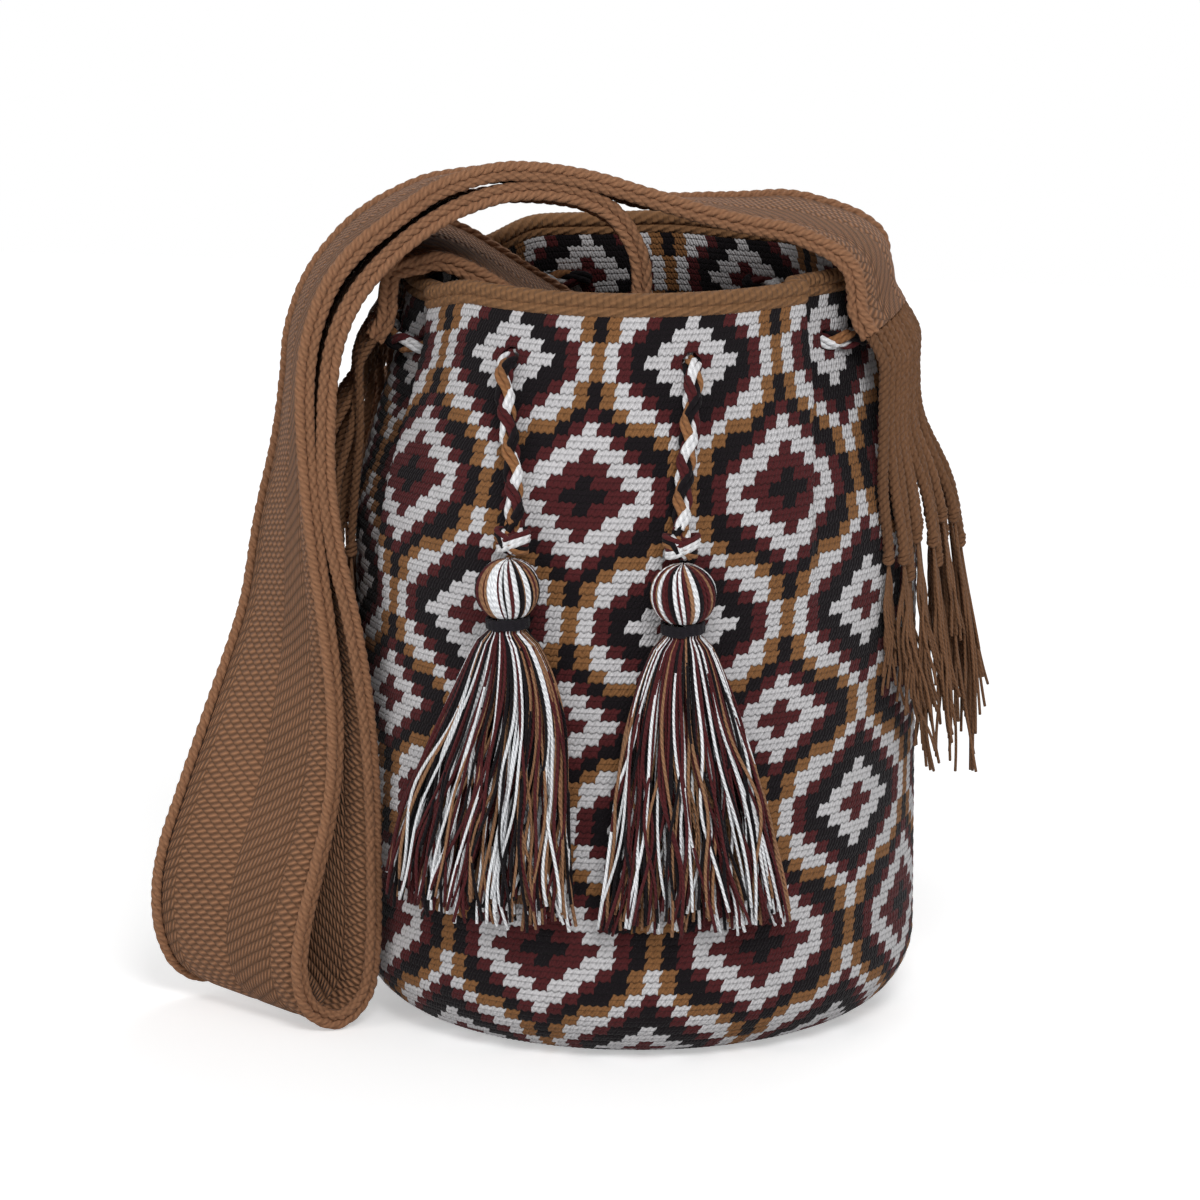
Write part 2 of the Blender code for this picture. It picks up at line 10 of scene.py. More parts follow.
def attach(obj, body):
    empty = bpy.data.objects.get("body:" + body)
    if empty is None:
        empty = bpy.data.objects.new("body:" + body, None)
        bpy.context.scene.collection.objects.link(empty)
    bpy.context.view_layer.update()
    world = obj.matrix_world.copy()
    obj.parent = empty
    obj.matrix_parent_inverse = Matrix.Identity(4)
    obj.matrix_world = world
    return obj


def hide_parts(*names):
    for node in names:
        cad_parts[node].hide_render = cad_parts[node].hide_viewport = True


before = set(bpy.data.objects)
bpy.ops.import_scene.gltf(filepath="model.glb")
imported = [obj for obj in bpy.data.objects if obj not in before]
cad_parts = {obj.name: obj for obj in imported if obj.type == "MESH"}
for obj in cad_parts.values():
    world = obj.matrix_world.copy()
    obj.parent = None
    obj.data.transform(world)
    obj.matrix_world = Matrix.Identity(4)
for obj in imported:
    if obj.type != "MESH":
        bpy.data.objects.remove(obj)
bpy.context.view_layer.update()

# Camera and light
# The bag stands on a white table in soft, even studio light. It is seen from a little to the right of its
# front and from above, through a long lens.

VIEW_TURN = math.radians(9.5)
VIEW_RISE = math.radians(13.5)
VIEW_DISTANCE = 3.0
PHOTO_PIXELS = 1200
METRES_A_PIXEL = 0.0004
BASE_CENTRE_IN_PHOTO = (636, 993)
SENSOR_WIDTH = 36.0
FAR_END = 30.0
LAMP_AIM = Vector((0.0, 0.0, 0.15))
TABLE_HALF_WIDTH = 1.5
TABLE_WHITE = (0.88, 0.88, 0.88)
TABLE_ROUGHNESS = 0.9
TABLE_SPECULAR = 0.1
FLOOR_GLOW = 0.42
BACKDROP_WHITE = 1.0
WORLD_LIGHT = 0.36

view_right = Vector((math.cos(VIEW_TURN), math.sin(VIEW_TURN), 0.0))
view_back = Vector((math.sin(VIEW_TURN) * math.cos(VIEW_RISE), -math.cos(VIEW_TURN) * math.cos(VIEW_RISE),
                    math.sin(VIEW_RISE)))
photo_middle = 0.5 * PHOTO_PIXELS
aim = view_right * (photo_middle - BASE_CENTRE_IN_PHOTO[0]) * METRES_A_PIXEL
aim.z = (BASE_CENTRE_IN_PHOTO[1] - photo_middle) * METRES_A_PIXEL / math.cos(VIEW_RISE)

lens = bpy.data.cameras.new("photo_view")
lens.sensor_width = SENSOR_WIDTH
lens.lens = SENSOR_WIDTH * VIEW_DISTANCE / (PHOTO_PIXELS * METRES_A_PIXEL)
lens.clip_end = FAR_END
camera = bpy.data.objects.new("photo_view", lens)
bpy.context.scene.collection.objects.link(camera)
camera.location = aim + view_back * VIEW_DISTANCE
camera.rotation_euler = view_back.to_track_quat("Z", "Y").to_euler()
bpy.context.scene.camera = camera
bpy.context.scene.view_settings.view_transform = "Standard"


def soft_lamp(name, place, size, power):
    light = bpy.data.lights.new(name, "AREA")
    light.size = size
    light.energy = power
    lamp = bpy.data.objects.new(name, light)
    bpy.context.scene.collection.objects.link(lamp)
    lamp.location = place
    lamp.rotation_euler = (lamp.location - LAMP_AIM).to_track_quat("Z", "Y").to_euler()


soft_lamp("key_light", place=(0.7, -1.9, 1.9), size=0.9, power=31.0)
soft_lamp("fill_light", place=(-1.7, -1.5, 1.0), size=1.5, power=9.0)
soft_lamp("back_light", place=(0.3, 1.9, 1.7), size=1.4, power=14.0)


class Socket:
    """A shader socket that takes part in sums."""

    tree = None

    def __init__(self, link):
        self.link = link

    @classmethod
    def node(cls, kind, settings=None, output=0, **values):
        made = cls.tree.nodes.new("ShaderNode" + kind)
        for name, value in (settings or {}).items():
            if name == "stops":
                ramp = made.color_ramp
                while len(ramp.elements) < len(value):
                    ramp.elements.new(1.0)
                for element, (place, colour) in zip(ramp.elements, value):
                    element.position = place
                    element.color = (*colour, 1.0)
            elif name == "interpolation":
                made.color_ramp.interpolation = value
            else:
                setattr(made, name, value)
        for name, value in values.items():
            key = int(name[1:]) if name[0] == "_" else name.replace("_", " ")
            cls.plug(made.inputs[key], value)
        return cls(made.outputs[output])

    @classmethod
    def plug(cls, socket, value):
        if isinstance(value, Socket):
            cls.tree.links.new(value.link, socket)
        elif isinstance(value, (tuple, Vector)) and len(value) == 3 and socket.type == "RGBA":
            socket.default_value = (*value, 1.0)
        else:
            socket.default_value = value

    def maths(self, operation, *others):
        values = {f"_{i}": value for i, value in enumerate((self, *others))}
        return Socket.node("Math", {"operation": operation}, **values)

    def __add__(self, other):
        return self.maths("ADD", other)

    def __sub__(self, other):
        return self.maths("SUBTRACT", other)

    def __mul__(self, other):
        return self.maths("MULTIPLY", other)

    def __truediv__(self, other):
        return self.maths("DIVIDE", other)

    def __lt__(self, other):
        return self.maths("LESS_THAN", other)

    def __gt__(self, other):
        return self.maths("GREATER_THAN", other)

    def __rsub__(self, other):
        return Socket.node("Math", {"operation": "SUBTRACT"}, _0=other, _1=self)

    __radd__ = __add__
    __rmul__ = __mul__


def new_finish(name):
    """An empty material whose shader is returned with it; new sockets go into its tree."""
    finish = bpy.data.materials.new(name)
    finish.use_nodes = True
    Socket.tree = finish.node_tree
    return finish, finish.node_tree.nodes["Principled BSDF"]


def seen_straight():
    """1 where the camera or a mirrored ray meets the surface, so it looks white without lighting the bag."""
    ray = Socket.tree.nodes.new("ShaderNodeLightPath")
    return Socket(ray.outputs["Is Camera Ray"]).maths("MAXIMUM", Socket(ray.outputs["Is Glossy Ray"]))


floor_mesh = bmesh.new()
bmesh.ops.create_grid(floor_mesh, x_segments=1, y_segments=1, size=TABLE_HALF_WIDTH)
floor_data = bpy.data.meshes.new("table")
floor_mesh.to_mesh(floor_data)
floor_mesh.free()
table = bpy.data.objects.new("table", floor_data)
bpy.context.scene.collection.objects.link(table)
table_finish, table_shader = new_finish("white_table")
table_shader.inputs["Base Color"].default_value = (*TABLE_WHITE, 1.0)
table_shader.inputs["Roughness"].default_value = TABLE_ROUGHNESS
table_shader.inputs["Specular IOR Level"].default_value = TABLE_SPECULAR
glow = seen_straight()
Socket.plug(table_shader.inputs["Emission Color"], Socket.node("CombineColor", _0=glow, _1=glow, _2=glow))
table_shader.inputs["Emission Strength"].default_value = FLOOR_GLOW
floor_data.materials.append(table_finish)

world = bpy.data.worlds.new("studio")
bpy.context.scene.world = world
world.use_nodes = True
Socket.tree = world.node_tree
sky = world.node_tree.nodes["Background"]
sky.inputs["Color"].default_value = (1.0, 1.0, 1.0, 1.0)
Socket.plug(sky.inputs["Strength"], seen_straight() * (BACKDROP_WHITE - WORLD_LIGHT) + WORLD_LIGHT)

# The wall
# One piece of tapestry crochet, worked in rounds of single stitches from the base up, with the yarns that
# aren't used carried along inside the stitches. It is soft, so it gathers into folds near the mouth.

BELLY_RADIUS = 0.112
MOUTH_RADIUS = 0.090
WALL = 0.004
BASE_EDGE_RADIUS = 0.030
BAG_HEIGHT = 0.295
RIM_HEIGHT = 0.009
SHOULDER_HEIGHT = 0.190
FRONT_PLEAT_ANGLE = math.radians(57.0)
PLEAT_DEPTH = 0.009
PLEAT_STEP = math.radians(2.6)
PLEAT_WIDTH = math.radians(33.0)
PLEAT_DRIFT = math.radians(9.0)
PLEAT_DRIFT_TOP = 0.285
PLEAT_DRIFT_FALL = 0.09
PLEAT_FOOT = 0.150
BACK_FOLD_DEPTH = 0.004
BACK_FOLDS = 5
SIDE_BULGE = 0.003
LEFT_DIP = 0.008
SEAM_ANGLE = math.radians(90.0)
DIP_HALF_WIDTH = math.radians(28.0)
FOLD_FADE = math.radians(27.0)
EYELET_COUNT = 8
EYELET_DROP = 0.018

STITCHES = 224
CELLS_A_REPEAT = 14
ROUNDS_A_REPEAT = 36.0
FIRST_ROUND = 5.0
STITCHES_A_CELL = 2
ROUND_HEIGHT = 0.0050
LEAN = 0.13
LEAN_START = 3.5
PATTERN_ROUNDS = 61
WALL_ROUNDS = 64
ALL_ROUNDS = 78.8
SCALLOP = 0.13
STITCH_RELIEF = 0.0006
EYELET_HOLE = 0.0033
EYELET_REACH = 5.0 * EYELET_HOLE
EYELET_TORN = 0.45 * EYELET_HOLE
EYELET_BELOW_RIM = 0.010
STITCH_MERGE = 0.00002


def smooth(value):
    t = min(max(value, 0.0), 1.0)
    return t * t * (3.0 - 2.0 * t)


def turned_round(angle):
    return math.atan2(math.sin(angle), math.cos(angle))


def around(angle, radius, height):
    """A place round the bag's middle; the angle counts from the front towards the right."""
    return Vector((radius * math.sin(angle), -radius * math.cos(angle), height))


def wall_radius(height):
    rise = (height - SHOULDER_HEIGHT) / (BAG_HEIGHT + RIM_HEIGHT - SHOULDER_HEIGHT)
    return BELLY_RADIUS - (BELLY_RADIUS - MOUTH_RADIUS) * smooth(rise)


def pleat(angle, height):
    """1 just past the crease where the front panel lies over the side, fading towards the seam."""
    lowered = smooth((PLEAT_DRIFT_TOP - height) / PLEAT_DRIFT_FALL)
    drift = PLEAT_DRIFT * lowered if turned_round(angle) > 0.0 else 0.0
    past = abs(turned_round(angle)) - FRONT_PLEAT_ANGLE + drift
    return smooth(past / PLEAT_STEP + 0.5) * (1.0 - smooth((past - PLEAT_STEP) / (PLEAT_WIDTH + drift)))


def back_fold(angle):
    """Even waves across the back, gone before the strap's seams."""
    behind = turned_round(angle - math.pi)
    reach = smooth((SEAM_ANGLE - FOLD_FADE - abs(behind)) / FOLD_FADE)
    return reach * 0.5 * (1.0 - math.cos(2.0 * BACK_FOLDS * behind))


def seam_share(angle, half_width):
    """1 where the strap is sewn on, 0 past its sides."""
    off = abs(abs(turned_round(angle)) - SEAM_ANGLE)
    return 1.0 - smooth((off - half_width) / FOLD_FADE)


def on_wall(angle, height, offset=0.0):
    """A place given by its angle, its height before folding and its distance out from the wall."""
    gather = smooth((height - PLEAT_FOOT) / (BAG_HEIGHT - PLEAT_FOOT))
    lift = smooth((height - SHOULDER_HEIGHT) / (BAG_HEIGHT - SHOULDER_HEIGHT))
    fold = SIDE_BULGE * seam_share(angle, 0.5 * DIP_HALF_WIDTH) - PLEAT_DEPTH * pleat(angle, height)
    fold -= BACK_FOLD_DEPTH * back_fold(angle)
    radius = wall_radius(height) + gather * fold + offset
    dip = LEFT_DIP * seam_share(angle, DIP_HALF_WIDTH) if turned_round(angle) < 0.0 else 0.0
    return around(angle, radius, height - lift * dip)


def place_on_rounds(angle, rounds, offset):
    """A place counted in rounds down from the rim, over the base's edge and in across the base."""
    down = rounds * ROUND_HEIGHT
    straight = BAG_HEIGHT - BASE_EDGE_RADIUS
    if down <= straight:
        return on_wall(angle, BAG_HEIGHT - down, offset)
    bend = (down - straight) / BASE_EDGE_RADIUS
    flat = BELLY_RADIUS - BASE_EDGE_RADIUS
    if bend <= 0.5 * math.pi:
        reach = BASE_EDGE_RADIUS + offset
        radius = flat + reach * math.cos(bend)
        height = BASE_EDGE_RADIUS - reach * math.sin(bend)
    else:
        radius = flat - (bend - 0.5 * math.pi) * BASE_EDGE_RADIUS
        height = -offset
    return around(angle, radius, height)


def stitch_relief(stitch, rounds):
    """How far the yarn lies below the wall's face: each stitch is a cushion, hung from the one above."""
    hung = rounds - 0.5 * SCALLOP * math.cos(2.0 * math.pi * stitch)
    cushion = 0.5 - 0.5 * math.cos(2.0 * math.pi * hung)
    dent = 0.5 - 0.5 * math.cos(2.0 * math.pi * stitch)
    return STITCH_RELIEF * (cushion * (0.8 + 0.2 * dent) - 1.0)


def open_eyelets(stitch, rounds):
    """Pushes a place on the wall away from the nearest eyelet, as a cord forced between the stitches does."""
    row = EYELET_DROP / ROUND_HEIGHT
    repeat = STITCHES / EYELET_COUNT
    middle = (math.floor(stitch / repeat) + 0.5) * repeat
    across = (stitch - middle) * 2.0 * math.pi * MOUTH_RADIUS / STITCHES
    down = (rounds - row) * ROUND_HEIGHT
    away = math.hypot(across, down)
    if away > EYELET_REACH:
        return stitch, rounds, away
    pushed = (away ** 3 + EYELET_HOLE ** 3) ** (1.0 / 3.0)
    push = pushed / max(away, 1e-6)
    return (middle + (stitch - middle) * push, row + (rounds - row) * push, away)


def stitched_sheet(name, columns, rows, first, last, offset, relief):
    """The wall rolled up from a flat grid that is laid out in stitches and rounds."""
    sheet = bmesh.new()
    bmesh.ops.create_grid(sheet, x_segments=columns, y_segments=rows, size=0.5)
    stitch_map = sheet.loops.layers.uv.new("stitches")
    torn = []
    for face in sheet.faces:
        for loop in face.loops:
            rounds = first + (0.5 - loop.vert.co.y) * (last - first)
            narrowed = min(1.0, (ALL_ROUNDS - rounds + 1.0) / (ALL_ROUNDS - WALL_ROUNDS))
            loop[stitch_map].uv = ((0.5 + loop.vert.co.x) * narrowed, rounds / ALL_ROUNDS)
    for vertex in sheet.verts:
        stitch = (0.5 + vertex.co.x) * STITCHES
        rounds = first + (0.5 - vertex.co.y) * (last - first)
        moved, lowered, away = open_eyelets(stitch, rounds)
        if away < EYELET_TORN:
            torn.append(vertex)
        angle = (moved - 0.5 * STITCHES - LEAN * (lowered - LEAN_START)) * 2.0 * math.pi / STITCHES
        rise = stitch_relief(stitch, rounds) if relief else 0.0
        vertex.co = place_on_rounds(angle, lowered, offset + rise)
    bmesh.ops.delete(sheet, geom=torn, context="VERTS")
    bmesh.ops.remove_doubles(sheet, verts=sheet.verts, dist=STITCH_MERGE)
    low = BAG_HEIGHT - 2.0 * EYELET_DROP
    high = BAG_HEIGHT - EYELET_BELOW_RIM
    eyelets = [e for e in sheet.edges if e.is_boundary and low < e.verts[0].co.z < high]
    lip = bmesh.ops.extrude_edge_only(sheet, edges=eyelets)
    half_way = -0.5 * WALL - offset
    for item in lip["geom"]:
        if isinstance(item, bmesh.types.BMVert):
            item.co += item.co.xy.to_3d().normalized() * half_way
    bmesh.ops.recalc_face_normals(sheet, faces=sheet.faces)
    return finished_mesh(name, sheet)


def finished_mesh(name, working):
    data = bpy.data.meshes.new(name)
    working.to_mesh(data)
    working.free()
    data.shade_smooth()
    made = bpy.data.objects.new(name, data)
    bpy.context.scene.collection.objects.link(made)
    return made


def linear(red, green, blue):
    """A colour as read off the photograph, 0 to 255, as the light values that the shader takes."""
    values = []
    for part in (red, green, blue):
        share = part / 255.0
        values.append(share / 12.92 if share <= 0.04045 else ((share + 0.055) / 1.055) ** 2.4)
    return tuple(values)


CREAM = linear(208, 206, 208)
BLACK = linear(17, 11, 15)
MAROON = linear(79, 31, 33)
BROWN = linear(136, 94, 58)
BIG_DIAMOND = ((-1, BLACK), (2, MAROON), (4, CREAM), (6, MAROON), (7, BLACK), (8, BROWN))
SMALL_DIAMOND = ((-1, MAROON), (2, CREAM), (4, BLACK), (6, MAROON), (7, CREAM), (8, BROWN))
DIAMOND_SPAN = 16.0
SMALL_MIDDLE = 10.0


def mixed(share, first, second):
    """The second colour over the first, by a share."""
    return Socket.node("Mix", {"data_type": "RGBA"}, output=2, _0=share, _6=first, _7=second)


def diamond_colours(rings, cells_out):
    """Rings of one colour each, by how many cells away from the diamond's middle they start."""
    stops = [(max(0.0, (start - 0.5) / DIAMOND_SPAN), colour) for start, colour in rings]
    return Socket.node("ValToRGB", {"interpolation": "CONSTANT", "stops": stops}, _0=cells_out / DIAMOND_SPAN)


def cells_from(across, down, pointed_from):
    """Cells away from a diamond's middle; the two rounds at its widest are alike past a number of cells."""
    cells = across + down
    return cells + (cells > pointed_from) * (down.maths("MAXIMUM", 1.0) - down)


def pattern_colour(stitch, rounds):
    """Stepped diamonds, worked out from the cell's distance to the nearest big and small one."""
    column = (stitch / STITCHES_A_CELL + 0.5).maths("FLOOR").maths("FLOORED_MODULO", CELLS_A_REPEAT)
    across = column.maths("MINIMUM", CELLS_A_REPEAT - column)
    folded = (rounds.maths("FLOOR") + FIRST_ROUND).maths("FLOORED_MODULO", ROUNDS_A_REPEAT)
    to_ends = folded.maths("MINIMUM", ROUNDS_A_REPEAT - folded) + 2.0
    down = to_ends.maths("MINIMUM", (folded - 0.5 * ROUNDS_A_REPEAT).maths("ABSOLUTE"))
    small_across = 0.5 * CELLS_A_REPEAT - across
    small_down = SMALL_MIDDLE - down
    to_big = across + down
    to_small = small_across + small_down
    big = diamond_colours(BIG_DIAMOND, cells_from(across, down, 4.5))
    small = diamond_colours(SMALL_DIAMOND, cells_from(small_across, small_down, 3.5))
    near_brown = (across > 5.5).maths("MAXIMUM", (across > 0.5) * (across < 3.5))
    far_brown = ((across > 3.5) * (across < 6.5)).maths("MAXIMUM", across < 1.5)
    near_line = mixed(near_brown, BLACK, BROWN)
    far_line = mixed(far_brown, CREAM, BROWN)
    between = mixed(to_big < 8.5, far_line, near_line)
    outer = mixed(to_small < 7.5, between, small)
    whole = mixed(to_big < 7.5, outer, big)
    return mixed(rounds > PATTERN_ROUNDS, whole, BLACK)


def tinted(base, shade):
    """A colour made lighter or darker by a number."""
    grey = Socket.node("CombineColor", _0=shade, _1=shade, _2=shade)
    blend = {"data_type": "RGBA", "blend_type": "MULTIPLY"}
    return Socket.node("Mix", blend, output=2, _0=1.0, _6=base, _7=grey)


def speckle(scale, detail):
    """Noise that stays with the piece."""
    return Socket.node("TexNoise", Vector=Socket.node("TexCoord", output=3), Scale=scale, Detail=detail)


def map_parts(name):
    """The two coordinates of a piece's own map."""
    first = Socket.node("SeparateXYZ", _0=Socket.node("UVMap", {"uv_map": name}))
    return first, Socket(first.link.node.outputs[1])


COTTON_ROUGHNESS = 0.85
COTTON_SPECULAR = 0.16
COTTON_SHEEN = 0.04
COTTON_SHEEN_ROUGHNESS = 0.5
COTTON_BUMP = 0.8


def cotton_surface(shader, colour, height, depth):
    """Matt cotton in a varying colour, with its relief."""
    Socket.plug(shader.inputs["Base Color"], colour)
    bump = Socket.node("Bump", Strength=COTTON_BUMP, Distance=depth, Height=height)
    Socket.plug(shader.inputs["Normal"], bump)
    shader.inputs["Roughness"].default_value = COTTON_ROUGHNESS
    shader.inputs["Specular IOR Level"].default_value = COTTON_SPECULAR
    shader.inputs["Sheen Weight"].default_value = COTTON_SHEEN
    shader.inputs["Sheen Roughness"].default_value = COTTON_SHEEN_ROUGHNESS


CROCHET_BUMP = 0.0008
STRAND_REACH = 0.42
STRAND_SHIFT = 0.08


def crochet_finish(name):
    """Single crochet: a round is two twisted strands, and its top strand reaches on over the next colour; the
    gaps between rounds, strands and stitches get painted shade.
    """
    finish, shader = new_finish(name)
    map_across, map_down = map_parts("stitches")
    stitch = map_across * STITCHES - 0.5 * STITCHES
    rounds = map_down * ALL_ROUNDS
    stitch_wave = (stitch * (2.0 * math.pi)).maths("COSINE")
    hung = rounds - stitch_wave * (0.5 * SCALLOP)
    down = hung.maths("FRACT")
    reach = Socket.node("MapRange", {"interpolation_type": "SMOOTHSTEP"}, _0=down, _1=0.50, _2=0.10)
    own = stitch - reach * STRAND_REACH + STRAND_SHIFT
    base = pattern_colour(own, hung)
    fibre = speckle(850.0, 3.0)
    blotch = speckle(55.0, 2.0)
    across = (own.maths("FRACT") - 0.5).maths("ABSOLUTE") * 2.0
    # Painted shade: the gaps between rounds, the line between the two strands and the dimples between
    # stitches are darkened in the colour, and the strands' twist gets painted light and shade; the fibre and
    # blotch noise is the yarn's own uneven tone.
    between_rounds = ((down - 0.5).maths("ABSOLUTE") * 2.0).maths("POWER", 7.0)
    off_middle = (down - 0.45 + stitch_wave * 0.05).maths("ABSOLUTE")
    between_strands = (1.0 - off_middle * 9.0).maths("MAXIMUM", 0.0)
    dimple = across.maths("POWER", 4.0) * (1.0 - (down - 0.48).maths("ABSOLUTE") * 4.0).maths("MAXIMUM", 0.0)
    twist = ((stitch * 2.0 + down * 1.6) * (2.0 * math.pi)).maths("SINE")
    shade = 1.08 - between_rounds * 0.48 - between_strands * 0.22 - dimple * 0.30 + twist * 0.07
    shade = shade + (fibre - 0.5) * 0.50 + (blotch - 0.5) * 0.30
    height = 1.0 - between_rounds * 0.9 - between_strands * 0.6 - dimple * 0.5 + twist * 0.22 + fibre * 0.5
    cotton_surface(shader, tinted(base, shade), height, CROCHET_BUMP)
    return finish


crochet = crochet_finish("tapestry_crochet")
wall = stitched_sheet("bag_wall", 2 * STITCHES, 3 * WALL_ROUNDS, 0.0, WALL_ROUNDS, 0.0, True)
base = stitched_sheet("bag_base", STITCHES // 2, 45, WALL_ROUNDS, ALL_ROUNDS, 0.0, True)
lining = stitched_sheet("bag_wall_inside", STITCHES, 80, 0.0, ALL_ROUNDS, -WALL, False)
lining.data.flip_normals()
for sheet in (wall, base, lining):
    sheet.data.materials.append(crochet)
    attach(sheet, "bag")
    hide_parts("bag_body")

# Rim edging
# Two rounds of plain brown crochet over the wall's last round, a thick roll of slanting stitches on a thin
# ridge. Here and below, a yarn is a strip of a flat grid rolled round its route, and its map holds the way
# round the yarn and the metres along it.

RIM_ROLLS = ((0.0059, 0.0031), (0.0017, 0.0025))
RIM_BULGE = 0.00014
RIM_PLIES = 5
RIM_PLY_LENGTH = 0.0068
RIM_BUMP = 0.0007
RIM_BROWN = linear(134, 97, 66)
YARN_MERGE = 0.000004
YARN_BUMP = 0.0003
WHITE_DYE, BLACK_DYE, MAROON_DYE, BROWN_DYE = range(4)


def lay_yarn(working, route, radius, sides=6, dye=WHITE_DYE, tone=0.5, ring_up=None):
    """Rolls a yarn round its route, with cut ends, or as a ring where the upward direction is given."""
    last = len(route) - 1
    stations = []
    normal = Vector((0.31, 0.17, 0.94))
    gone = 0.0
    for i, point in enumerate(route):
        travel = (route[min(i + 1, last)] - route[max(i - 1, 0)]).normalized()
        if ring_up:
            travel = (route[(i + 1) % last] - route[(i - 1) % last]).normalized()
            normal = ring_up
        normal = (normal - travel * normal.dot(travel)).normalized()
        if i:
            gone += (point - route[i - 1]).length
        stations.append((point, normal * radius, travel.cross(normal) * radius, gone))
    if not ring_up:
        for end in (0, -1):
            point, _, _, reached = stations[end]
            cut = (point, Vector(), Vector(), reached)
            stations.insert(0 if end == 0 else len(stations), cut)
    rows = len(stations) - 1
    strip = bmesh.ops.create_grid(working, x_segments=sides, y_segments=rows, size=0.5)["verts"]
    yarn_map = working.loops.layers.uv["yarn"]
    dyes = working.faces.layers.float["dye"]
    angles = [2.0 * math.pi * i / sides for i in range(sides + 1)]
    turns = [(math.cos(angle), math.sin(angle)) for angle in angles]
    faces = set()
    for vertex in strip:
        faces.update(vertex.link_faces)
    for face in faces:
        face[dyes] = dye + 0.02 + 0.96 * tone
        for loop in face.loops:
            row = round((loop.vert.co.y + 0.5) * rows)
            loop[yarn_map].uv = (loop.vert.co.x + 0.5, stations[row][3])
    for vertex in strip:
        point, side, up, _ = stations[round((vertex.co.y + 0.5) * rows)]
        cos, sin = turns[round((vertex.co.x + 0.5) * sides)]
        vertex.co = point + side * cos + up * sin


def new_yarns():
    """An empty bmesh with the yarns' map and the number that holds dye and tone."""
    working = bmesh.new()
    working.loops.layers.uv.new("yarn")
    working.faces.layers.float.new("dye")
    return working


def yarn_piece(name, working, finish, body):
    bmesh.ops.remove_doubles(working, verts=working.verts, dist=YARN_MERGE)
    bmesh.ops.recalc_face_normals(working, faces=working.faces)
    made = finished_mesh(name, working)
    made.data.materials.append(finish)
    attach(made, body)
    return made


def yarn_finish(name, colours, ply_length, plies=2, bump=YARN_BUMP, contrast=1.0):
    """Spun cotton: its plies wind round it, darker in between them by painted shade, with a faint halo of
    fibres.
    """
    finish, shader = new_finish(name)
    round_it, metres = map_parts("yarn")
    dye = Socket.node("Attribute", {"attribute_name": "dye"}, output=2)
    stops = [(i / 4.0, colour) for i, colour in enumerate(colours)]
    base = Socket.node("ValToRGB", {"interpolation": "CONSTANT", "stops": stops}, _0=dye / 4.0)
    fibre = speckle(1100.0, 3.0)
    blotch = speckle(90.0, 2.0)
    wind = ((round_it * plies + metres / ply_length) * (2.0 * math.pi)).maths("SINE")
    ply = wind * 0.5 + 0.5
    # Painted light and shade: lighter on each ply and darker between plies, scaled by the contrast; the tone
    # given with each yarn and the fibre and blotch noise vary the yarn's own colour.
    shade = 0.70 + ply * 0.28 * contrast + dye.maths("FRACT") * 0.28
    shade = shade + (fibre - 0.5) * 0.3 + (blotch - 0.5) * 0.16
    cotton_surface(shader, tinted(base, shade), ply * contrast + fibre * 0.3, bump)
    return finish


rim_finish = yarn_finish("rim_crochet", [RIM_BROWN] * 4, RIM_PLY_LENGTH, plies=RIM_PLIES, bump=RIM_BUMP)
rim = new_yarns()
for middle, roll in RIM_ROLLS:
    steps = 4 * STITCHES
    ring = []
    for i in range(steps + 1):
        bulge = RIM_BULGE * math.sin(0.5 * math.pi * i)
        height = BAG_HEIGHT + middle + 0.5 * bulge
        ring.append(on_wall(2.0 * math.pi * i / steps, height, bulge - 0.5 * WALL))
    lay_yarn(rim, ring, roll, sides=10, dye=BROWN_DYE, ring_up=Vector((0.0, 0.0, 1.0)))
rim_piece = yarn_piece("rim_crochet", rim, rim_finish, "bag")
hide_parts("rim_edging")

# Drawstring
# Four strands of two yarns each, white, black, maroon and brown, braided round over a length and threaded in
# and out through the eyelets. Its two tails hang down the front, each ending in a knot above a tassel.

CORD_DIAMETER = 0.0076
CORD_CLEARANCE = 0.0008
CORD_STAND = 0.5 * (WALL + CORD_DIAMETER) + CORD_CLEARANCE
CROSSING = 0.0044
BRAID_PITCH = 0.030
BRAID_MIDDLE = 0.0021
BRAID_WEAVE = 0.0007
STRAND_RADIUS = 0.00122
STRAND_SPREAD = 0.00100
TASSEL_ANGLES = {"left": math.radians(-14.0), "right": math.radians(17.5)}
TAIL_ROUTE = (
    (0.0, 276.0, 0.0),
    (0.02, 275.4, 0.55),
    (0.08, 272.0, 1.0),
    (0.2, 265.0, 1.15),
    (0.38, 255.0, 1.1),
    (0.57, 244.0, 1.05),
    (0.75, 233.0, 1.1),
    (0.9, 224.0, 1.45),
    (1.0, 217.0, 1.85),
)
NEAR_EYELET = (0.0, 0.0021, 0.0042, 0.0066, 0.0105, 0.020)
THREADED_POINTS = 440
TAIL_POINTS = 90
CORD_PLY_LENGTH = 0.0030
BRAID_DYES = (WHITE_DYE, BROWN_DYE, BLACK_DYE, MAROON_DYE)
CORD_COLOURS = (linear(238, 238, 240), BLACK, MAROON, linear(150, 104, 68))

cord_finish = yarn_finish("braided_cotton", CORD_COLOURS, CORD_PLY_LENGTH)


def through(points, count):
    """The given number of points, evenly spaced along a smooth curve through a few."""
    places = [Vector(along(points, i / (12 * len(points)))) for i in range(12 * len(points) + 1)]
    lengths = [0.0]
    for a, b in zip(places, places[1:]):
        lengths.append(lengths[-1] + (b - a).length)
    even = []
    j = 0
    for i in range(count):
        goal = lengths[-1] * i / (count - 1)
        while j < len(places) - 2 and lengths[j + 1] < goal:
            j += 1
        share = (goal - lengths[j]) / max(lengths[j + 1] - lengths[j], 1e-9)
        even.append(places[j].lerp(places[j + 1], share))
    return even


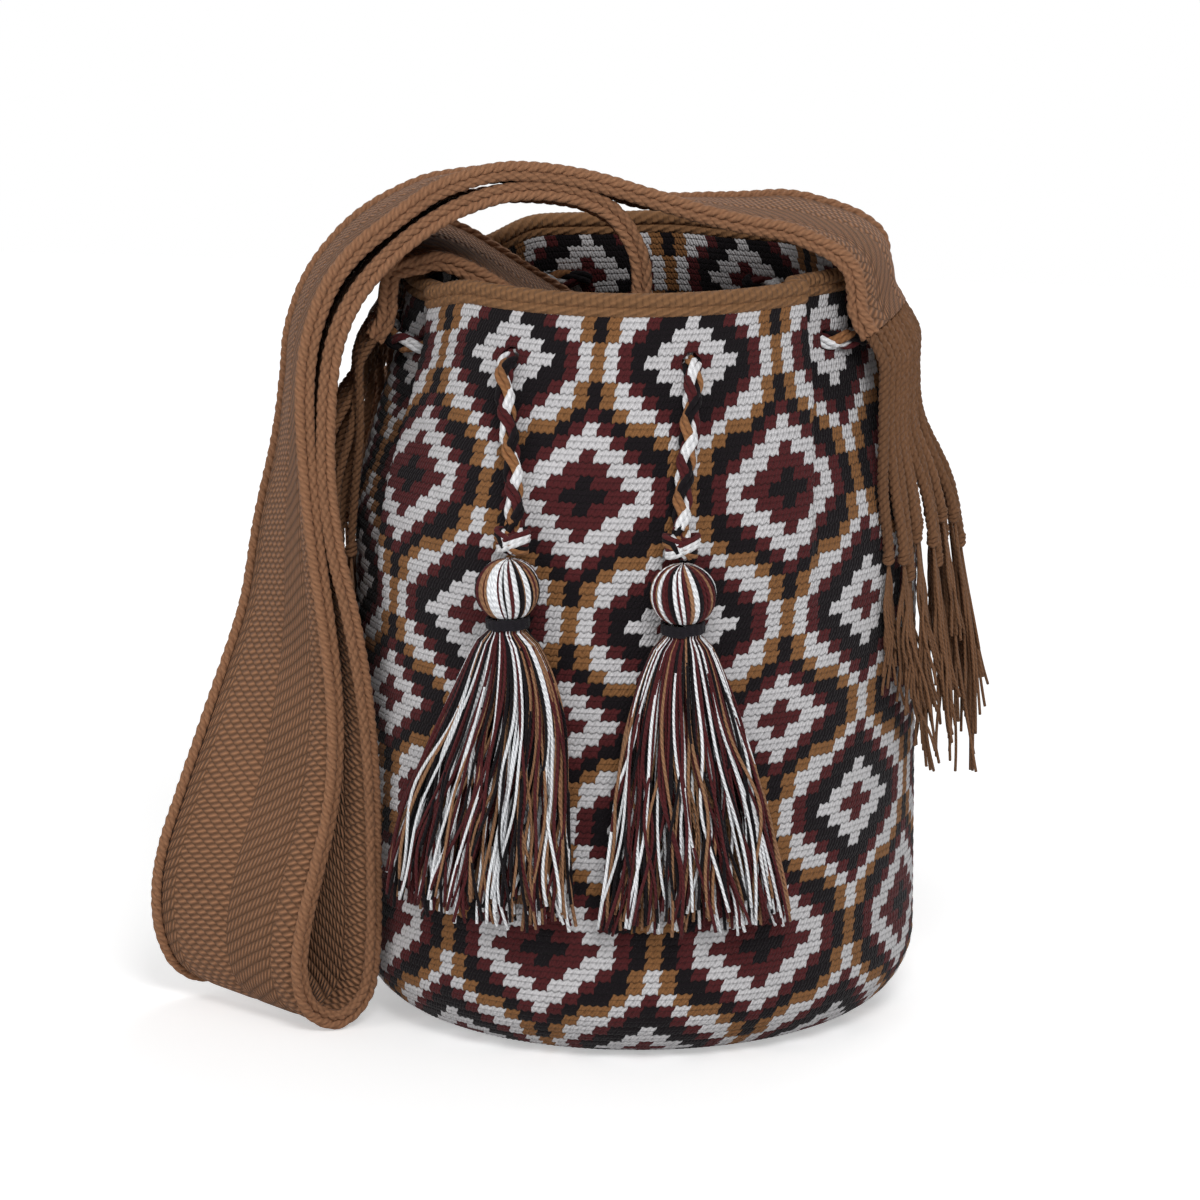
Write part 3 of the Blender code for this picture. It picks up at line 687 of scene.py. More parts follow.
def along(route, share):
    """The value at a share of the way along a list of values, on a smooth curve through them."""
    spot = share * (len(route) - 1)
    i = min(int(spot), len(route) - 2)
    t = spot - i
    before = route[max(i - 1, 0)]
    start = route[i]
    end = route[i + 1]
    after = route[min(i + 2, len(route) - 1)]
    values = []
    for a, b, c, d in zip(before, start, end, after):
        values.append(b + 0.5 * t * (c - a + t * (2 * a - 5 * b + 4 * c - d + t * (3 * (b - c) + d - a))))
    return values


def carried_frames(route):
    """The travel, a side and an up direction at each point, carried along without twisting."""
    frames = []
    side = Vector((0.13, 0.97, 0.21))
    last = len(route) - 1
    for i, point in enumerate(route):
        travel = (route[min(i + 1, last)] - route[max(i - 1, 0)]).normalized()
        side = (side - travel * side.dot(travel)).normalized()
        frames.append((point, side, travel.cross(side)))
    return frames


def braid(working, route, middle=BRAID_MIDDLE):
    """Two strands wind each way, over and under each other in turn; each strand is a pair of yarns."""
    frames = carried_frames(route)
    step = (route[1] - route[0]).length
    for number, dye in enumerate(BRAID_DYES):
        way = 1.0 if number % 2 == 0 else -1.0
        start = 0.5 * math.pi * number
        for side_of_pair in (-1.0, 1.0):
            strand = []
            for i, (point, side, up) in enumerate(frames):
                tau = 2.0 * math.pi * i * step / BRAID_PITCH
                angle = way * tau + start + side_of_pair * STRAND_SPREAD / middle
                reach = middle + way * BRAID_WEAVE * math.sin(2.0 * tau)
                strand.append(point + (side * math.cos(angle) + up * math.sin(angle)) * reach)
            lay_yarn(working, strand, STRAND_RADIUS, dye=dye, tone=0.5 + 0.2 * side_of_pair)


def cord_offset(arc):
    """Distance of the cord's middle from the wall's middle, at an arc length from the nearest eyelet."""
    return CORD_STAND * math.tanh(arc / CROSSING)


def threaded_route():
    """From the front left eyelet round the back to the front right one, in and out through the others."""
    step = 2.0 * math.pi / EYELET_COUNT
    height = BAG_HEIGHT - EYELET_DROP
    radius = wall_radius(height)
    near = [arc / radius for arc in NEAR_EYELET]
    points = []
    for run in range(EYELET_COUNT - 1):
        outward = 1.0 if run % 2 else -1.0
        start = -0.5 * step - run * step
        for arc in [*near, 0.5 * step, *[step - arc for arc in reversed(near[1:])]]:
            to_nearest = min(arc, step - arc) * radius
            offset = outward * cord_offset(to_nearest) - 0.5 * WALL
            points.append(on_wall(start - arc, height, offset))
    points.append(on_wall(-0.5 * step - (EYELET_COUNT - 1) * step, height, -0.5 * WALL))
    return points


def tail_route(side):
    """From the front eyelet down to the knot: share of the angle between them, height in mm, stand."""
    eyelet = math.copysign(math.pi / EYELET_COUNT, TASSEL_ANGLES[side])
    points = []
    for share, height, out in TAIL_ROUTE:
        angle = eyelet + share * (TASSEL_ANGLES[side] - eyelet)
        points.append(on_wall(angle, height * 0.001, CORD_STAND * out - 0.5 * WALL))
    return points


def route_length(route):
    return sum((b - a).length for a, b in zip(route, route[1:]))


threaded_cord = new_yarns()
braid(threaded_cord, through(threaded_route(), THREADED_POINTS))
threaded_piece = yarn_piece("drawstring_threaded", threaded_cord, cord_finish, "bag")
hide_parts("drawstring")

KNOT_SIZE = (0.015, 0.0106, 0.010)
KNOT_HEIGHT = 0.211
KNOT_STAND = 0.0105
KNOT_TURN = (0.0060, 0.0040)
KNOT_SLOPE = 0.46
KNOT_SWELL = 0.10
KNOT_LIFT = 0.0004
KNOT_STEP = 0.0017
KNOT_YARN = 0.00112
KNOT_FILLING = 0.0036
FILLING_HEIGHT = 0.0080
LOCK_TURN = 0.0041
LOCK_SLOPE = -0.55
LOCK_SHIFT = 1.6
BAND_POINTS = 40
LOCK_POINTS = 32
KNOT_BANDS = ((1.0, (WHITE_DYE, WHITE_DYE, MAROON_DYE)), (-1.0, (BROWN_DYE, BLACK_DYE, MAROON_DYE)))
LOCK_DYES = (BLACK_DYE, WHITE_DYE, BROWN_DYE)


def knot_centre(side):
    return on_wall(TASSEL_ANGLES[side], KNOT_HEIGHT, KNOT_STAND)


def in_knot(side, place):
    """A place given from the knot's middle, to the right, back and up, as one in the bag's frame."""
    return knot_centre(side) + Matrix.Rotation(TASSEL_ANGLES[side], 3, "Z") @ Vector(place)


def band_turn(side, slant, level):
    """One turn of the knot. Each of its two bands slants one way and dips under the other on one side."""
    points = []
    for i in range(BAND_POINTS + 1):
        t = 2.0 * math.pi * i / BAND_POINTS
        reach = 1.0 + KNOT_SWELL * slant * math.sin(t + 0.6)
        x = KNOT_TURN[0] * reach * math.sin(t)
        z = (slant * KNOT_SLOPE * x + level) * (1.0 - KNOT_SWELL * abs(math.sin(t))) + KNOT_LIFT
        points.append(in_knot(side, (x, -KNOT_TURN[1] * reach * math.cos(t), z)))
    return points


def lock_turn(side, number):
    """One turn of the loop that goes down in front of both bands and up behind them."""
    points = []
    for i in range(LOCK_POINTS + 1):
        t = 2.0 * math.pi * i / LOCK_POINTS
        height = LOCK_TURN * math.sin(t)
        x = (number - LOCK_SHIFT) * KNOT_STEP + LOCK_SLOPE * height
        points.append(in_knot(side, (x, -LOCK_TURN * math.cos(t), height)))
    return points


for side in ("left", "right"):
    knot = new_yarns()
    for slant, dyes in KNOT_BANDS:
        for i, dye in enumerate(dyes):
            band = band_turn(side, slant, (i - 1) * KNOT_STEP)
            lay_yarn(knot, band, KNOT_YARN, dye=dye, tone=0.2 + 0.3 * i)
    for i, dye in enumerate(LOCK_DYES):
        lay_yarn(knot, lock_turn(side, i), KNOT_YARN, dye=dye, tone=0.2 + 0.3 * i)
    tail = through(tail_route(side), TAIL_POINTS)
    middle = knot_centre(side)
    filling = [middle + Vector((0.0, 0.0, FILLING_HEIGHT * (0.5 - i / 8.0))) for i in range(9)]
    lay_yarn(knot, filling, KNOT_FILLING, sides=10, dye=MAROON_DYE)
    entry = [tail[-4].lerp(middle, i / 10.0) for i in range(11)]
    braid(knot, entry, 0.9 * BRAID_MIDDLE)
    knot_piece = yarn_piece(f"knot_{side}", knot, cord_finish, "bag")
    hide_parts(f"tassel_{side}_knot")
    tail_cord = new_yarns()
    braid(tail_cord, tail)
    tail_piece = yarn_piece(f"drawstring_tail_{side}", tail_cord, cord_finish, "bag")
    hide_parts("drawstring")
    route_length(tail)

# Shoulder strap
# A band 80 mm wide, woven by hand in one brown yarn. Its four zones of slanting rows meet in chevrons, and
# both edges end in a thick plait. Each end is sewn to the outside of the mouth over a side seam.

STRAP_WIDTH = 0.080
STRAP_THICKNESS = 0.005
STRAP_GROOVE = 0.0006
GROOVE_REACH = 0.004
THIN_EDGE = (0.86, 0.14)
EDGE_WIDTH = 0.008
EDGE_COVER = 1.1
HANG_TURN = math.radians(9.5)
ZONE_EDGES = (-0.024, 0.0, 0.028)
ROW_PITCH = 0.0046
ROW_SLOPE = 0.62
STROKE = 0.0019
DASH = 0.0028
DASH_SLOPE = 0.47
WEAVE_WANDER = 0.0022
WEAVE_BUMP = 0.0018
STRAP_ROWS = 760
STRAP_COLUMNS = 44
STRAP_BROWN = linear(146, 105, 77)
# Each station: the front edge's place in mm to the right, back and up, the band's turn in degrees, its back
# edge's drop in mm, and its bow across in mm
STRAP_ROUTE = (
    (-109.6, -22.2, 276.5, -9.5, 0, 8),
    (-105.7, -22.8, 283, -9.5, 0, 8),
    (-104.0, -23.2, 291.5, -9.5, 0, 7),
    (-98.5, -24, 302, -9.5, 0, 4),
    (-86, -25, 304, -5, 0, 2),
    (-77, -26, 304, 0, 0, 0),
    (-67, -28, 301, 0, 1, 0),
    (-57, -30, 296, 0, 2, 0),
    (-45, -34, 289, 0, 2, 0),
    (-32, -38, 280.5, 0, 1, 0),
    (-19, -42, 272, 0, 0, 0),
    (-8, -45, 269.5, 0, 0, 0),
    (-0.5, -48, 275, 0, 1, 0),
    (2, -50, 286, 0, 3, 0),
    (2, -50, 297, 0, 7, 0),
    (1.5, -50, 308, 0, 12, 0),
    (-2, -50, 318, 0, 15, 0),
    (-9, -50, 328, 0, 16, 0),
    (-20, -50, 334, 0, 16, 0),
    (-34, -50, 337, 0, 16, 0),
    (-49, -50, 336.5, 1, 15, 0),
    (-62, -50, 333, 2, 13.5, 0),
    (-74, -50, 327.5, 4, 11.5, 0),
    (-86, -50, 319.5, 6, 10, 0),
    (-98, -50, 309, 7, 10, 0),
    (-108, -50, 297, 7, 11, 0),
    (-115, -51, 284, 7, 12, 0),
    (-119, -52, 270, 6, 12, 0),
    (-121, -54, 250, 7, 7, 0),
    (-121, -56, 223, 10, 4, 0),
    (-117.5, -58, 196, 17, 2, 0),
    (-111, -60, 168, 25, 0, 0),
    (-106, -61, 138, 33, -2, 0),
    (-103, -61.5, 107, 42, -4, 0),
    (-102, -61, 70, 49, -5, 0),
    (-102.5, -59, 36, 49, -5, 0),
    (-106, -57, 14, 48, -5, 0),
    (-116.5, -60, 4.2, 47, -5, 0),
    (-127.5, -64, 10, 47, -5, 0),
    (-131.5, -66, 24, 49, -5, 0),
    (-130, -66, 42, 52, -5, 0),
    (-125.5, -65, 62, 54, -3, 0),
    (-119.5, -64, 88, 52, 0, 0),
    (-117, -63, 112, 45, 0, 0),
    (-117.5, -61.5, 136, 36, 0, 0),
    (-120, -60, 160, 27, 0, 0),
    (-124.5, -58, 192, 19, 0, 0),
    (-128, -56, 223, 11, 1, 0),
    (-129.5, -54, 253, 7, 4, 0),
    (-127.5, -52, 276, 7, 8, 0),
    (-121, -50, 296, 7, 10, 0),
    (-111, -50, 311, 7, 10, 0),
    (-97, -50, 323, 7, 9, 0),
    (-80, -50, 335.5, 5, 11, 0),
    (-66, -50, 341.5, 3, 13.5, 0),
    (-53, -50, 344.5, 1, 15, 0),
    (-40, -50, 344.5, 0, 16, 0),
    (-27, -50, 343, 0, 16, 0),
    (-12, -50, 339.5, 0, 16, 0),
    (1, -50, 335.5, 0, 16, 0),
    (15, -50, 331, 0, 13, 0),
    (30, -50.5, 326.5, 0, 8, 0),
    (45, -51, 323, 0, 4, 0),
    (58, -53, 321, -2, 1, 0),
    (69, -55, 318, -5, 0, 1),
    (79, -56, 314.5, -8, 0, 3),
    (87, -56, 308, -9.5, 0, 5),
    (91, -56, 298.5, -9.5, 0, 7),
    (92.5, -56, 291, -9.5, 0, 8),
    (96.4, -56.6, 284, -9.5, 0, 8),
)


def hang_point(right, depth, height):
    """A place in the turned frame of the strap, given in millimetres, as a place in the bag's own frame."""
    x = right * math.cos(HANG_TURN) - depth * math.sin(HANG_TURN)
    y = right * math.sin(HANG_TURN) + depth * math.cos(HANG_TURN)
    return Vector((x, y, height)) * 0.001


def strap_frames(stations):
    """Centre, width direction, direction away from the face, and bend of each station along the strap."""
    centres = []
    widths = []
    bends = []
    for step in range(stations + 1):
        right, depth, height, turn, drop, bend = along(STRAP_ROUTE, step / stations)
        fall = math.asin(drop * 0.001 / STRAP_WIDTH)
        angle = math.radians(turn)
        width = Vector((-math.sin(angle) * math.cos(fall), math.cos(angle) * math.cos(fall), -math.sin(fall)))
        width.rotate(Matrix.Rotation(HANG_TURN, 3, "Z"))
        centres.append(hang_point(right, depth, height) + 0.5 * STRAP_WIDTH * width)
        widths.append(width)
        bends.append(bend * 0.001)
    frames = []
    for i, centre in enumerate(centres):
        travel = (centres[min(i + 1, stations)] - centres[max(i - 1, 0)]).normalized()
        away = travel.cross(widths[i]).normalized()
        frames.append((centre, widths[i], away, bends[i]))
    return frames


def strap_point(frame, across, away):
    """A point of the strap: across is -1 at the front edge and 1 at the back one."""
    centre, width, out, bend = frame
    return centre + width * (0.5 * STRAP_WIDTH * across) + out * (away - bend * across * across)


fine_frames = strap_frames(STRAP_ROWS)
strap_metres = [0.0]
for a, b in zip(fine_frames, fine_frames[1:]):
    strap_metres.append(strap_metres[-1] + (b[0] - a[0]).length)

band = bmesh.new()
weave_map = band.loops.layers.uv.new("weave")
flat_share = 1.0 - EDGE_WIDTH / STRAP_WIDTH * EDGE_COVER
for face_side in (1.0, -1.0):
    strip = bmesh.ops.create_grid(band, x_segments=STRAP_COLUMNS, y_segments=STRAP_ROWS, size=0.5)["verts"]
    faces = set()
    for vertex in strip:
        faces.update(vertex.link_faces)
    for face in faces:
        for loop in face.loops:
            row = round((loop.vert.co.y + 0.5) * STRAP_ROWS)
            loop[weave_map].uv = (2.0 * loop.vert.co.x * flat_share * 0.5 * STRAP_WIDTH, strap_metres[row])
    for vertex in strip:
        across = 2.0 * vertex.co.x * flat_share
        row = round((vertex.co.y + 0.5) * STRAP_ROWS)
        to_edge = min(abs(0.5 * STRAP_WIDTH * across - edge) for edge in ZONE_EDGES)
        thinned = smooth((abs(across) - THIN_EDGE[0] * flat_share) / (THIN_EDGE[1] * flat_share))
        thick = 0.5 * STRAP_THICKNESS - STRAP_GROOVE * (1.0 - smooth(to_edge / GROOVE_REACH))
        vertex.co = strap_point(fine_frames[row], across, face_side * thick * (1.0 - 0.5 * thinned))
    if face_side < 0.0:
        bmesh.ops.reverse_faces(band, faces=list(faces))
rims = [e for e in band.edges if e.is_boundary]
bmesh.ops.bridge_loops(band, edges=rims)
bmesh.ops.recalc_face_normals(band, faces=band.faces)
strap = finished_mesh("strap_band", band)

strap_finish, strap_shader = new_finish("strap_weave")
across_strap, along_strap = map_parts("weave")
first_edge, middle_edge, last_edge = ZONE_EDGES
near_front = (across_strap - first_edge).maths("ABSOLUTE")
near_back = (across_strap - last_edge).maths("ABSOLUTE") - (last_edge + first_edge)
fold = near_front.maths("MINIMUM", near_back)
stroked = (across_strap > first_edge) * (across_strap < middle_edge)
stroked = stroked.maths("MAXIMUM", across_strap > last_edge)
wander = (speckle(40.0, 2.0) - 0.5) * WEAVE_WANDER
row_count = (along_strap + fold * ROW_SLOPE + wander) / ROW_PITCH
row_part = row_count.maths("FRACT")
row_arch = (row_part * math.pi).maths("SINE")
row_wave = row_arch.maths("POWER", 0.35)
row_wave = row_wave + stroked * (row_arch.maths("POWER", 0.9) - row_wave)
strokes = across_strap / STROKE + row_part * 0.5
dashes = (along_strap + across_strap * DASH_SLOPE + wander) / DASH + row_count.maths("FLOOR") * 0.5
stitch_part = (dashes + stroked * (strokes - dashes)).maths("FRACT")
stitch_wave = (stitch_part * math.pi).maths("SINE").maths("POWER", 1.5)
strap_fibre = speckle(900.0, 3.0)
strap_blotch = speckle(30.0, 2.0)
# Painted light and shade: the rows' and stitches' relief also lightens the colour on their ridges and darkens
# it in the gaps between them; the fibre and blotch noise is the yarn's own uneven tone.
relief = row_wave * (0.15 + stitch_wave * 0.85)
strap_shade = 0.42 + relief * 1.02 + (strap_fibre - 0.5) * 0.35 + (strap_blotch - 0.5) * 0.22
cotton_surface(strap_shader, tinted(STRAP_BROWN, strap_shade), relief + strap_fibre * 0.12, WEAVE_BUMP)
strap.data.materials.append(strap_finish)
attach(strap, "bag")
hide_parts("shoulder_strap")

EDGE_ROPE = 0.0018
EDGE_PLY = 0.00135
EDGE_PITCH = 0.0140
EDGE_PLIES = 3
EDGE_SWING = (0.55, 0.6)
EDGE_INSET = 0.30
YARN_PLY_LENGTH = 0.0026

edge_finish = yarn_finish("plaited_edge", [STRAP_BROWN] * 4, YARN_PLY_LENGTH)
for edge_name, edge_side in (("front", -1.0), ("back", 1.0)):
    plait = new_yarns()
    for layer in (-1.0, 1.0):
        for ply in range(EDGE_PLIES):
            strand = []
            start = 2.0 * math.pi * ply / EDGE_PLIES
            for frame_here, metres in zip(fine_frames, strap_metres):
                angle = layer * edge_side * 2.0 * math.pi * metres / EDGE_PITCH + start
                rise = layer * EDGE_ROPE + EDGE_SWING[0] * EDGE_ROPE * math.cos(angle)
                out = EDGE_SWING[1] * EDGE_ROPE * math.sin(angle)
                across = edge_side * (1.0 - (EDGE_INSET * EDGE_WIDTH - out) / (0.5 * STRAP_WIDTH))
                strand.append(strap_point(frame_here, across, rise))
            lay_yarn(plait, strand, EDGE_PLY, tone=0.5 + 0.2 * layer)
    edge_piece = yarn_piece(f"strap_edge_{edge_name}", plait, edge_finish, "bag")
    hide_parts("shoulder_strap")

# Fringe
# The strap's warp yarns hang free past each sewn end. They are twisted into three-ply cords, and each cord
# ends in a small knot, under which its yarns hang loose.

FRINGE_CORDS = 8
FRINGE_DIAMETER = 0.0048
TWISTED_LENGTH = 0.100
FRINGE_HANG = {
    "left": ((2, 46), (5, 62), (9, 78), (12, 58), (12, 84), (10, 70), (6, 60), (3, 48)),
    "right": ((1, 50), (3, 66), (5, 78), (8, 62), (11, 88), (12, 72), (9, 62), (5, 50)),
}
FRINGE_STAND = {"left": 0.0085, "right": 0.0}
FRINGE_SPREAD = {"left": (-1.0, 0.0, 1.0), "right": (-0.8, 0.8)}
FRINGE_PLIES = {"left": (0.00098, 0.00104), "right": (0.00118, 0.00122)}
FRINGE_KICK = 0.0048
FRINGE_KICK_DROP = 0.0085
FRINGE_LEAD = 0.0025
CLEARANCE = 0.0003
FRINGE_TWIST = 0.0085
CORD_BESIDE = 0.075
CORD_ASIDE = 2.2
CORD_STANDS = (0.75, 0.65)
STAND_REACH = 0.62
SPREAD_REACH = 0.55
TWISTED_SPARE = (-0.016, 0.006)
ANY_TURN = (0.0, 6.3)
FRINGE_STATIONS = (0.055, 0.13, 0.25, 0.4, 0.55, 0.7, 0.85, 1.0)
FRINGE_POINTS = 190
PLIES_A_CORD = 3
END_KNOT_RADIUS = 0.0016
END_KNOT_STEP = 0.0012
END_KNOT_SLANT = 0.0009
END_KNOT_YARN = 0.0010
END_KNOT_TURNS = 3
END_KNOT_POINTS = 14
THREADS_A_CORD = 13
LOOSE_YARN = 0.00062
LOOSE_SPREAD = 0.0065
LOOSE_STAND = 0.0040
LOOSE_CURL = 0.0026
FLARED_SHARE = 0.45
FRINGE_PLY_LENGTH = 0.0022
# Painted shade: the fringe is the strap's own yarn, given a darker brown than STRAP_BROWN.
SHADED_FRINGE_BROWN = linear(121, 86, 61)

fringe_finish = yarn_finish("fringe_yarn", [SHADED_FRINGE_BROWN] * 4, FRINGE_PLY_LENGTH, contrast=0.7)


def fringe_route(full_stand, frame_here, leaving, across, out, loose_length):
    """Off the strap's end over the drawstring, then down the bag's belly at the given distance from it."""
    end = strap_point(frame_here, across, 0.0)
    start = end + FRINGE_LEAD * leaving
    angle = math.atan2(start.x, -start.y)
    start_radius = math.hypot(start.x, start.y)
    length = TWISTED_LENGTH + loose_length * 0.001
    points = [end + CLEARANCE * leaving, start]
    for share in FRINGE_STATIONS:
        drop = share * length
        height = start.z - drop
        kicked = start_radius + FRINGE_KICK * min(drop / FRINGE_KICK_DROP, 1.0)
        spread = smooth(share / SPREAD_REACH) * (1.0 + 0.3 * smooth((share - 0.5) / 0.3))
        stand = full_stand * math.sin(math.pi * min(share / STAND_REACH, 1.0)) ** 0.7
        belly = wall_radius(height) + 0.5 * FRINGE_DIAMETER + CORD_CLEARANCE + spread * out * 0.001 + stand
        points.append(around(angle, max(kicked, belly), height))
    return points


def twist_cord(cords, route, side):
    """Winds the cord's plies round its route."""
    step = (route[1] - route[0]).length
    stations = carried_frames(route)
    start = chance.uniform(*ANY_TURN)
    tone = chance.uniform(0.0, 1.0)
    ply_out, ply_radius = FRINGE_PLIES[side]
    for ply in range(PLIES_A_CORD):
        strand = []
        for i, (point, a, b) in enumerate(stations):
            angle = 2.0 * math.pi * (i * step / FRINGE_TWIST + ply / PLIES_A_CORD) + start
            strand.append(point + (a * math.cos(angle) + b * math.sin(angle)) * ply_out)
        lay_yarn(cords, strand, ply_radius, sides=5, tone=tone)


def tie_end(cords, middle):
    """A small knot of three turns at the cord's end."""
    for turn in range(END_KNOT_TURNS):
        ring = []
        for i in range(END_KNOT_POINTS + 1):
            angle = 2.0 * math.pi * i / END_KNOT_POINTS
            x = END_KNOT_RADIUS * math.cos(angle)
            y = END_KNOT_RADIUS * math.sin(angle)
            z = END_KNOT_STEP * (turn - 1) + END_KNOT_SLANT * math.sin(angle + turn)
            ring.append(middle + Vector((x, y, z)))
        lay_yarn(cords, ring, END_KNOT_YARN, sides=5, tone=chance.uniform(0.2, 0.9))


def hang_threads(cords, rest):
    """The cord's yarns below its knot, each with its own length, waves and flare."""
    outward = Vector((rest[0].x, rest[0].y, 0.0)).normalized()
    sideways = Vector((-outward.y, outward.x, 0.0))
    for _ in range(THREADS_A_CORD):
        spread = chance.uniform(-1.0, 1.0)
        stand = chance.uniform(-0.2, 1.0)
        share_long = chance.uniform(0.55, 1.04)
        phase = chance.uniform(*ANY_TURN)
        pace = chance.uniform(6.0, 15.0)
        flare = chance.uniform(0.003, 0.012) if chance.random() < FLARED_SHARE else 0.0
        strand = []
        for i in range(0, max(6, int(len(rest) * share_long)), 3):
            share = i / len(rest)
            loosened = smooth(share * 1.4)
            curl = LOOSE_CURL * math.sin(phase + pace * share) * smooth(share * 3.0)
            aside = sideways * (spread * LOOSE_SPREAD * loosened + curl)
            off = outward * (stand * LOOSE_STAND * loosened + flare * share ** 3)
            strand.append(rest[min(i, len(rest) - 1)] + aside + off)
        if len(strand) > 3:
            lay_yarn(cords, strand, LOOSE_YARN, sides=5, tone=chance.uniform(0.1, 1.0))


chance = random.Random(7)
ends = {"left": (fine_frames[0], fine_frames[1]), "right": (fine_frames[-1], fine_frames[-2])}
for side, (end_frame, near) in ends.items():
    leaving = (end_frame[0] - near[0]).normalized()
    cords = new_yarns()
    for number, (out, loose_length) in enumerate(FRINGE_HANG[side], start=1):
        across = -1.0 + (2.0 * number - 1.0) / FRINGE_CORDS
        for half in FRINGE_SPREAD[side]:
            beside = across + half * CORD_BESIDE
            stand = FRINGE_STAND[side] * (CORD_STANDS[0] + CORD_STANDS[1] * half)
            aside = out + CORD_ASIDE * half + chance.uniform(-0.8, 1.2)
            route = fringe_route(stand, end_frame, leaving, beside, aside, loose_length)
            whole = through(route, FRINGE_POINTS)
            twisted_length = TWISTED_LENGTH + chance.uniform(*TWISTED_SPARE)
            tied = int(FRINGE_POINTS * twisted_length / route_length(whole))
            twist_cord(cords, whole[:tied], side)
            tie_end(cords, whole[tied - 1])
            hang_threads(cords, whole[tied - 1:])
    fringe = yarn_piece(f"fringe_{side}", cords, fringe_finish, "bag")
    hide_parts(*[f"fringe_{side}_{n:02d}" for n in range(1, FRINGE_CORDS + 1)])

# Tassels
# A hank of cotton yarns in the wall's four colours, doubled over below the cord's knot, with about 240 cut
# ends. A black yarn is wound tight under the bend, so the top swells to a ball and the ends fan out below.

HEM_ANGLES = {"left": math.radians(-23.5), "right": math.radians(20.5)}
HEAD_DIAMETER = 0.0255
HEAD_HEIGHT = 0.0225
HEAD_GAP = 0.0005
NECK_RADIUS = 0.0066
BINDING_HEIGHT = 0.0048
SKIRT_LENGTH = 0.118
HEM_HALF_WIDTHS = {"left": 0.044, "right": 0.037}
HEM_HALF_DEPTH = 0.0085
HEAD_YARNS = 60
HEAD_YARN = 0.00088
HEAD_INSET = 0.0009
HEAD_POINTS = 18
HEAD_ARC = (4.0, 150.0)
HEAD_LEAN = 0.35
HEAD_TOP_RADIUS = 0.0012
HEAD_FOOT_RADIUS = 0.0055
SKIRT_LAYERS = ((1.0, 104), (0.80, 84), (0.5, 50))
SKIRT_YARN = 0.00066
SKIRT_START = 0.004
SKIRT_POINTS = 23
SKIRT_SIDE = 1.03
SKIRT_BACK = 0.98
HEM_REACH = 1.02
STRAY_SHARE = 0.12
BINDING_TURNS = 5
BINDING_YARN = 0.00085
BINDING_INSET = 0.0006
BINDING_STAND = 0.0012
BINDING_POINTS = 24
SKEIN_SHARES = (30, 24, 28, 18)
TASSEL_COLOURS = (linear(244, 246, 249), BLACK, MAROON, linear(152, 112, 82))
WOUND_BLACK = linear(28, 25, 30)

tassel_finish = yarn_finish("tassel_cotton", TASSEL_COLOURS, YARN_PLY_LENGTH, contrast=1.4)
binding_finish = yarn_finish("binding_cotton", [WOUND_BLACK] * 4, YARN_PLY_LENGTH)


def shades_in_bunches(count, source, sizes):
    """Yarn colours in small bunches, as they come off the skeins, and never two bunches of one colour."""
    dyes = []
    last = None
    while len(dyes) < count:
        dye = source.choices((WHITE_DYE, BLACK_DYE, MAROON_DYE, BROWN_DYE), SKEIN_SHARES)[0]
        if dye != last:
            dyes += [dye] * source.choice(sizes)
            last = dye
    return dyes[:count]


def skirt_section(side, share):
    """Half width, half depth, angle round the bag, height and seat of the skirt at a share of its length."""
    low = KNOT_HEIGHT - 0.5 * KNOT_SIZE[2] - HEAD_GAP - HEAD_HEIGHT - BINDING_HEIGHT - 0.001
    head = 0.5 * HEAD_DIAMETER
    spread = share ** 0.60
    width = NECK_RADIUS + (HEM_HALF_WIDTHS[side] - NECK_RADIUS) * spread
    depth = NECK_RADIUS + (HEM_HALF_DEPTH - NECK_RADIUS) * smooth(share * 2.0)
    lean = share * share * (3.0 - 2.0 * share)
    seat = head + (depth - head) * smooth(share * 2.5)
    return width, depth, lean, low - share * SKIRT_LENGTH, seat


def skirt_place(side, share, sideways, inwards):
    """A place in the skirt by its share across and through it, wrapped round the wall."""
    width, depth, lean, height, seat = skirt_section(side, share)
    middle = TASSEL_ANGLES[side] + lean * (HEM_ANGLES[side] - TASSEL_ANGLES[side])
    base = wall_radius(height) + seat + CLEARANCE
    return around(middle + width * sideways / base, base - depth * inwards, height)


def beside_axis(side, turn, reach, height):
    """A place at a height and a reach from the tassel's own axis, by its turn from the front of the head."""
    outward = around(TASSEL_ANGLES[side], 1.0, 0.0)
    sideways = Vector((-outward.y, outward.x, 0.0))
    axis = outward * (wall_radius(height) + 0.5 * HEAD_DIAMETER + CLEARANCE)
    return axis + (outward * math.cos(turn) + sideways * math.sin(turn)) * reach + Vector((0.0, 0.0, height))


def head_strand(side, number, top):
    """One yarn of the head, from the middle of its top over its side to the neck."""
    turned = 2.0 * math.pi * (number + chance.uniform(-0.2, 0.2)) / HEAD_YARNS
    stand = chance.uniform(-0.0008, 0.0003)
    sway = chance.uniform(-0.05, 0.05)
    strand = []
    for i in range(HEAD_POINTS + 1):
        angle = math.radians(HEAD_ARC[0] + HEAD_ARC[1] * i / HEAD_POINTS)
        reach = (0.5 * HEAD_DIAMETER - HEAD_INSET + stand) * math.sin(angle) ** 0.9
        if i < 3:
            reach = max(reach, HEAD_TOP_RADIUS)
        if i > HEAD_POINTS - 4:
            reach = max(reach, HEAD_FOOT_RADIUS)
        height = top - HEAD_INSET - 0.5 * (HEAD_HEIGHT - 0.001) * (1.0 - math.cos(angle)) * 1.04
        strand.append(beside_axis(side, turned + sway + HEAD_LEAN * (i / HEAD_POINTS - 0.5), reach, height))
    return strand


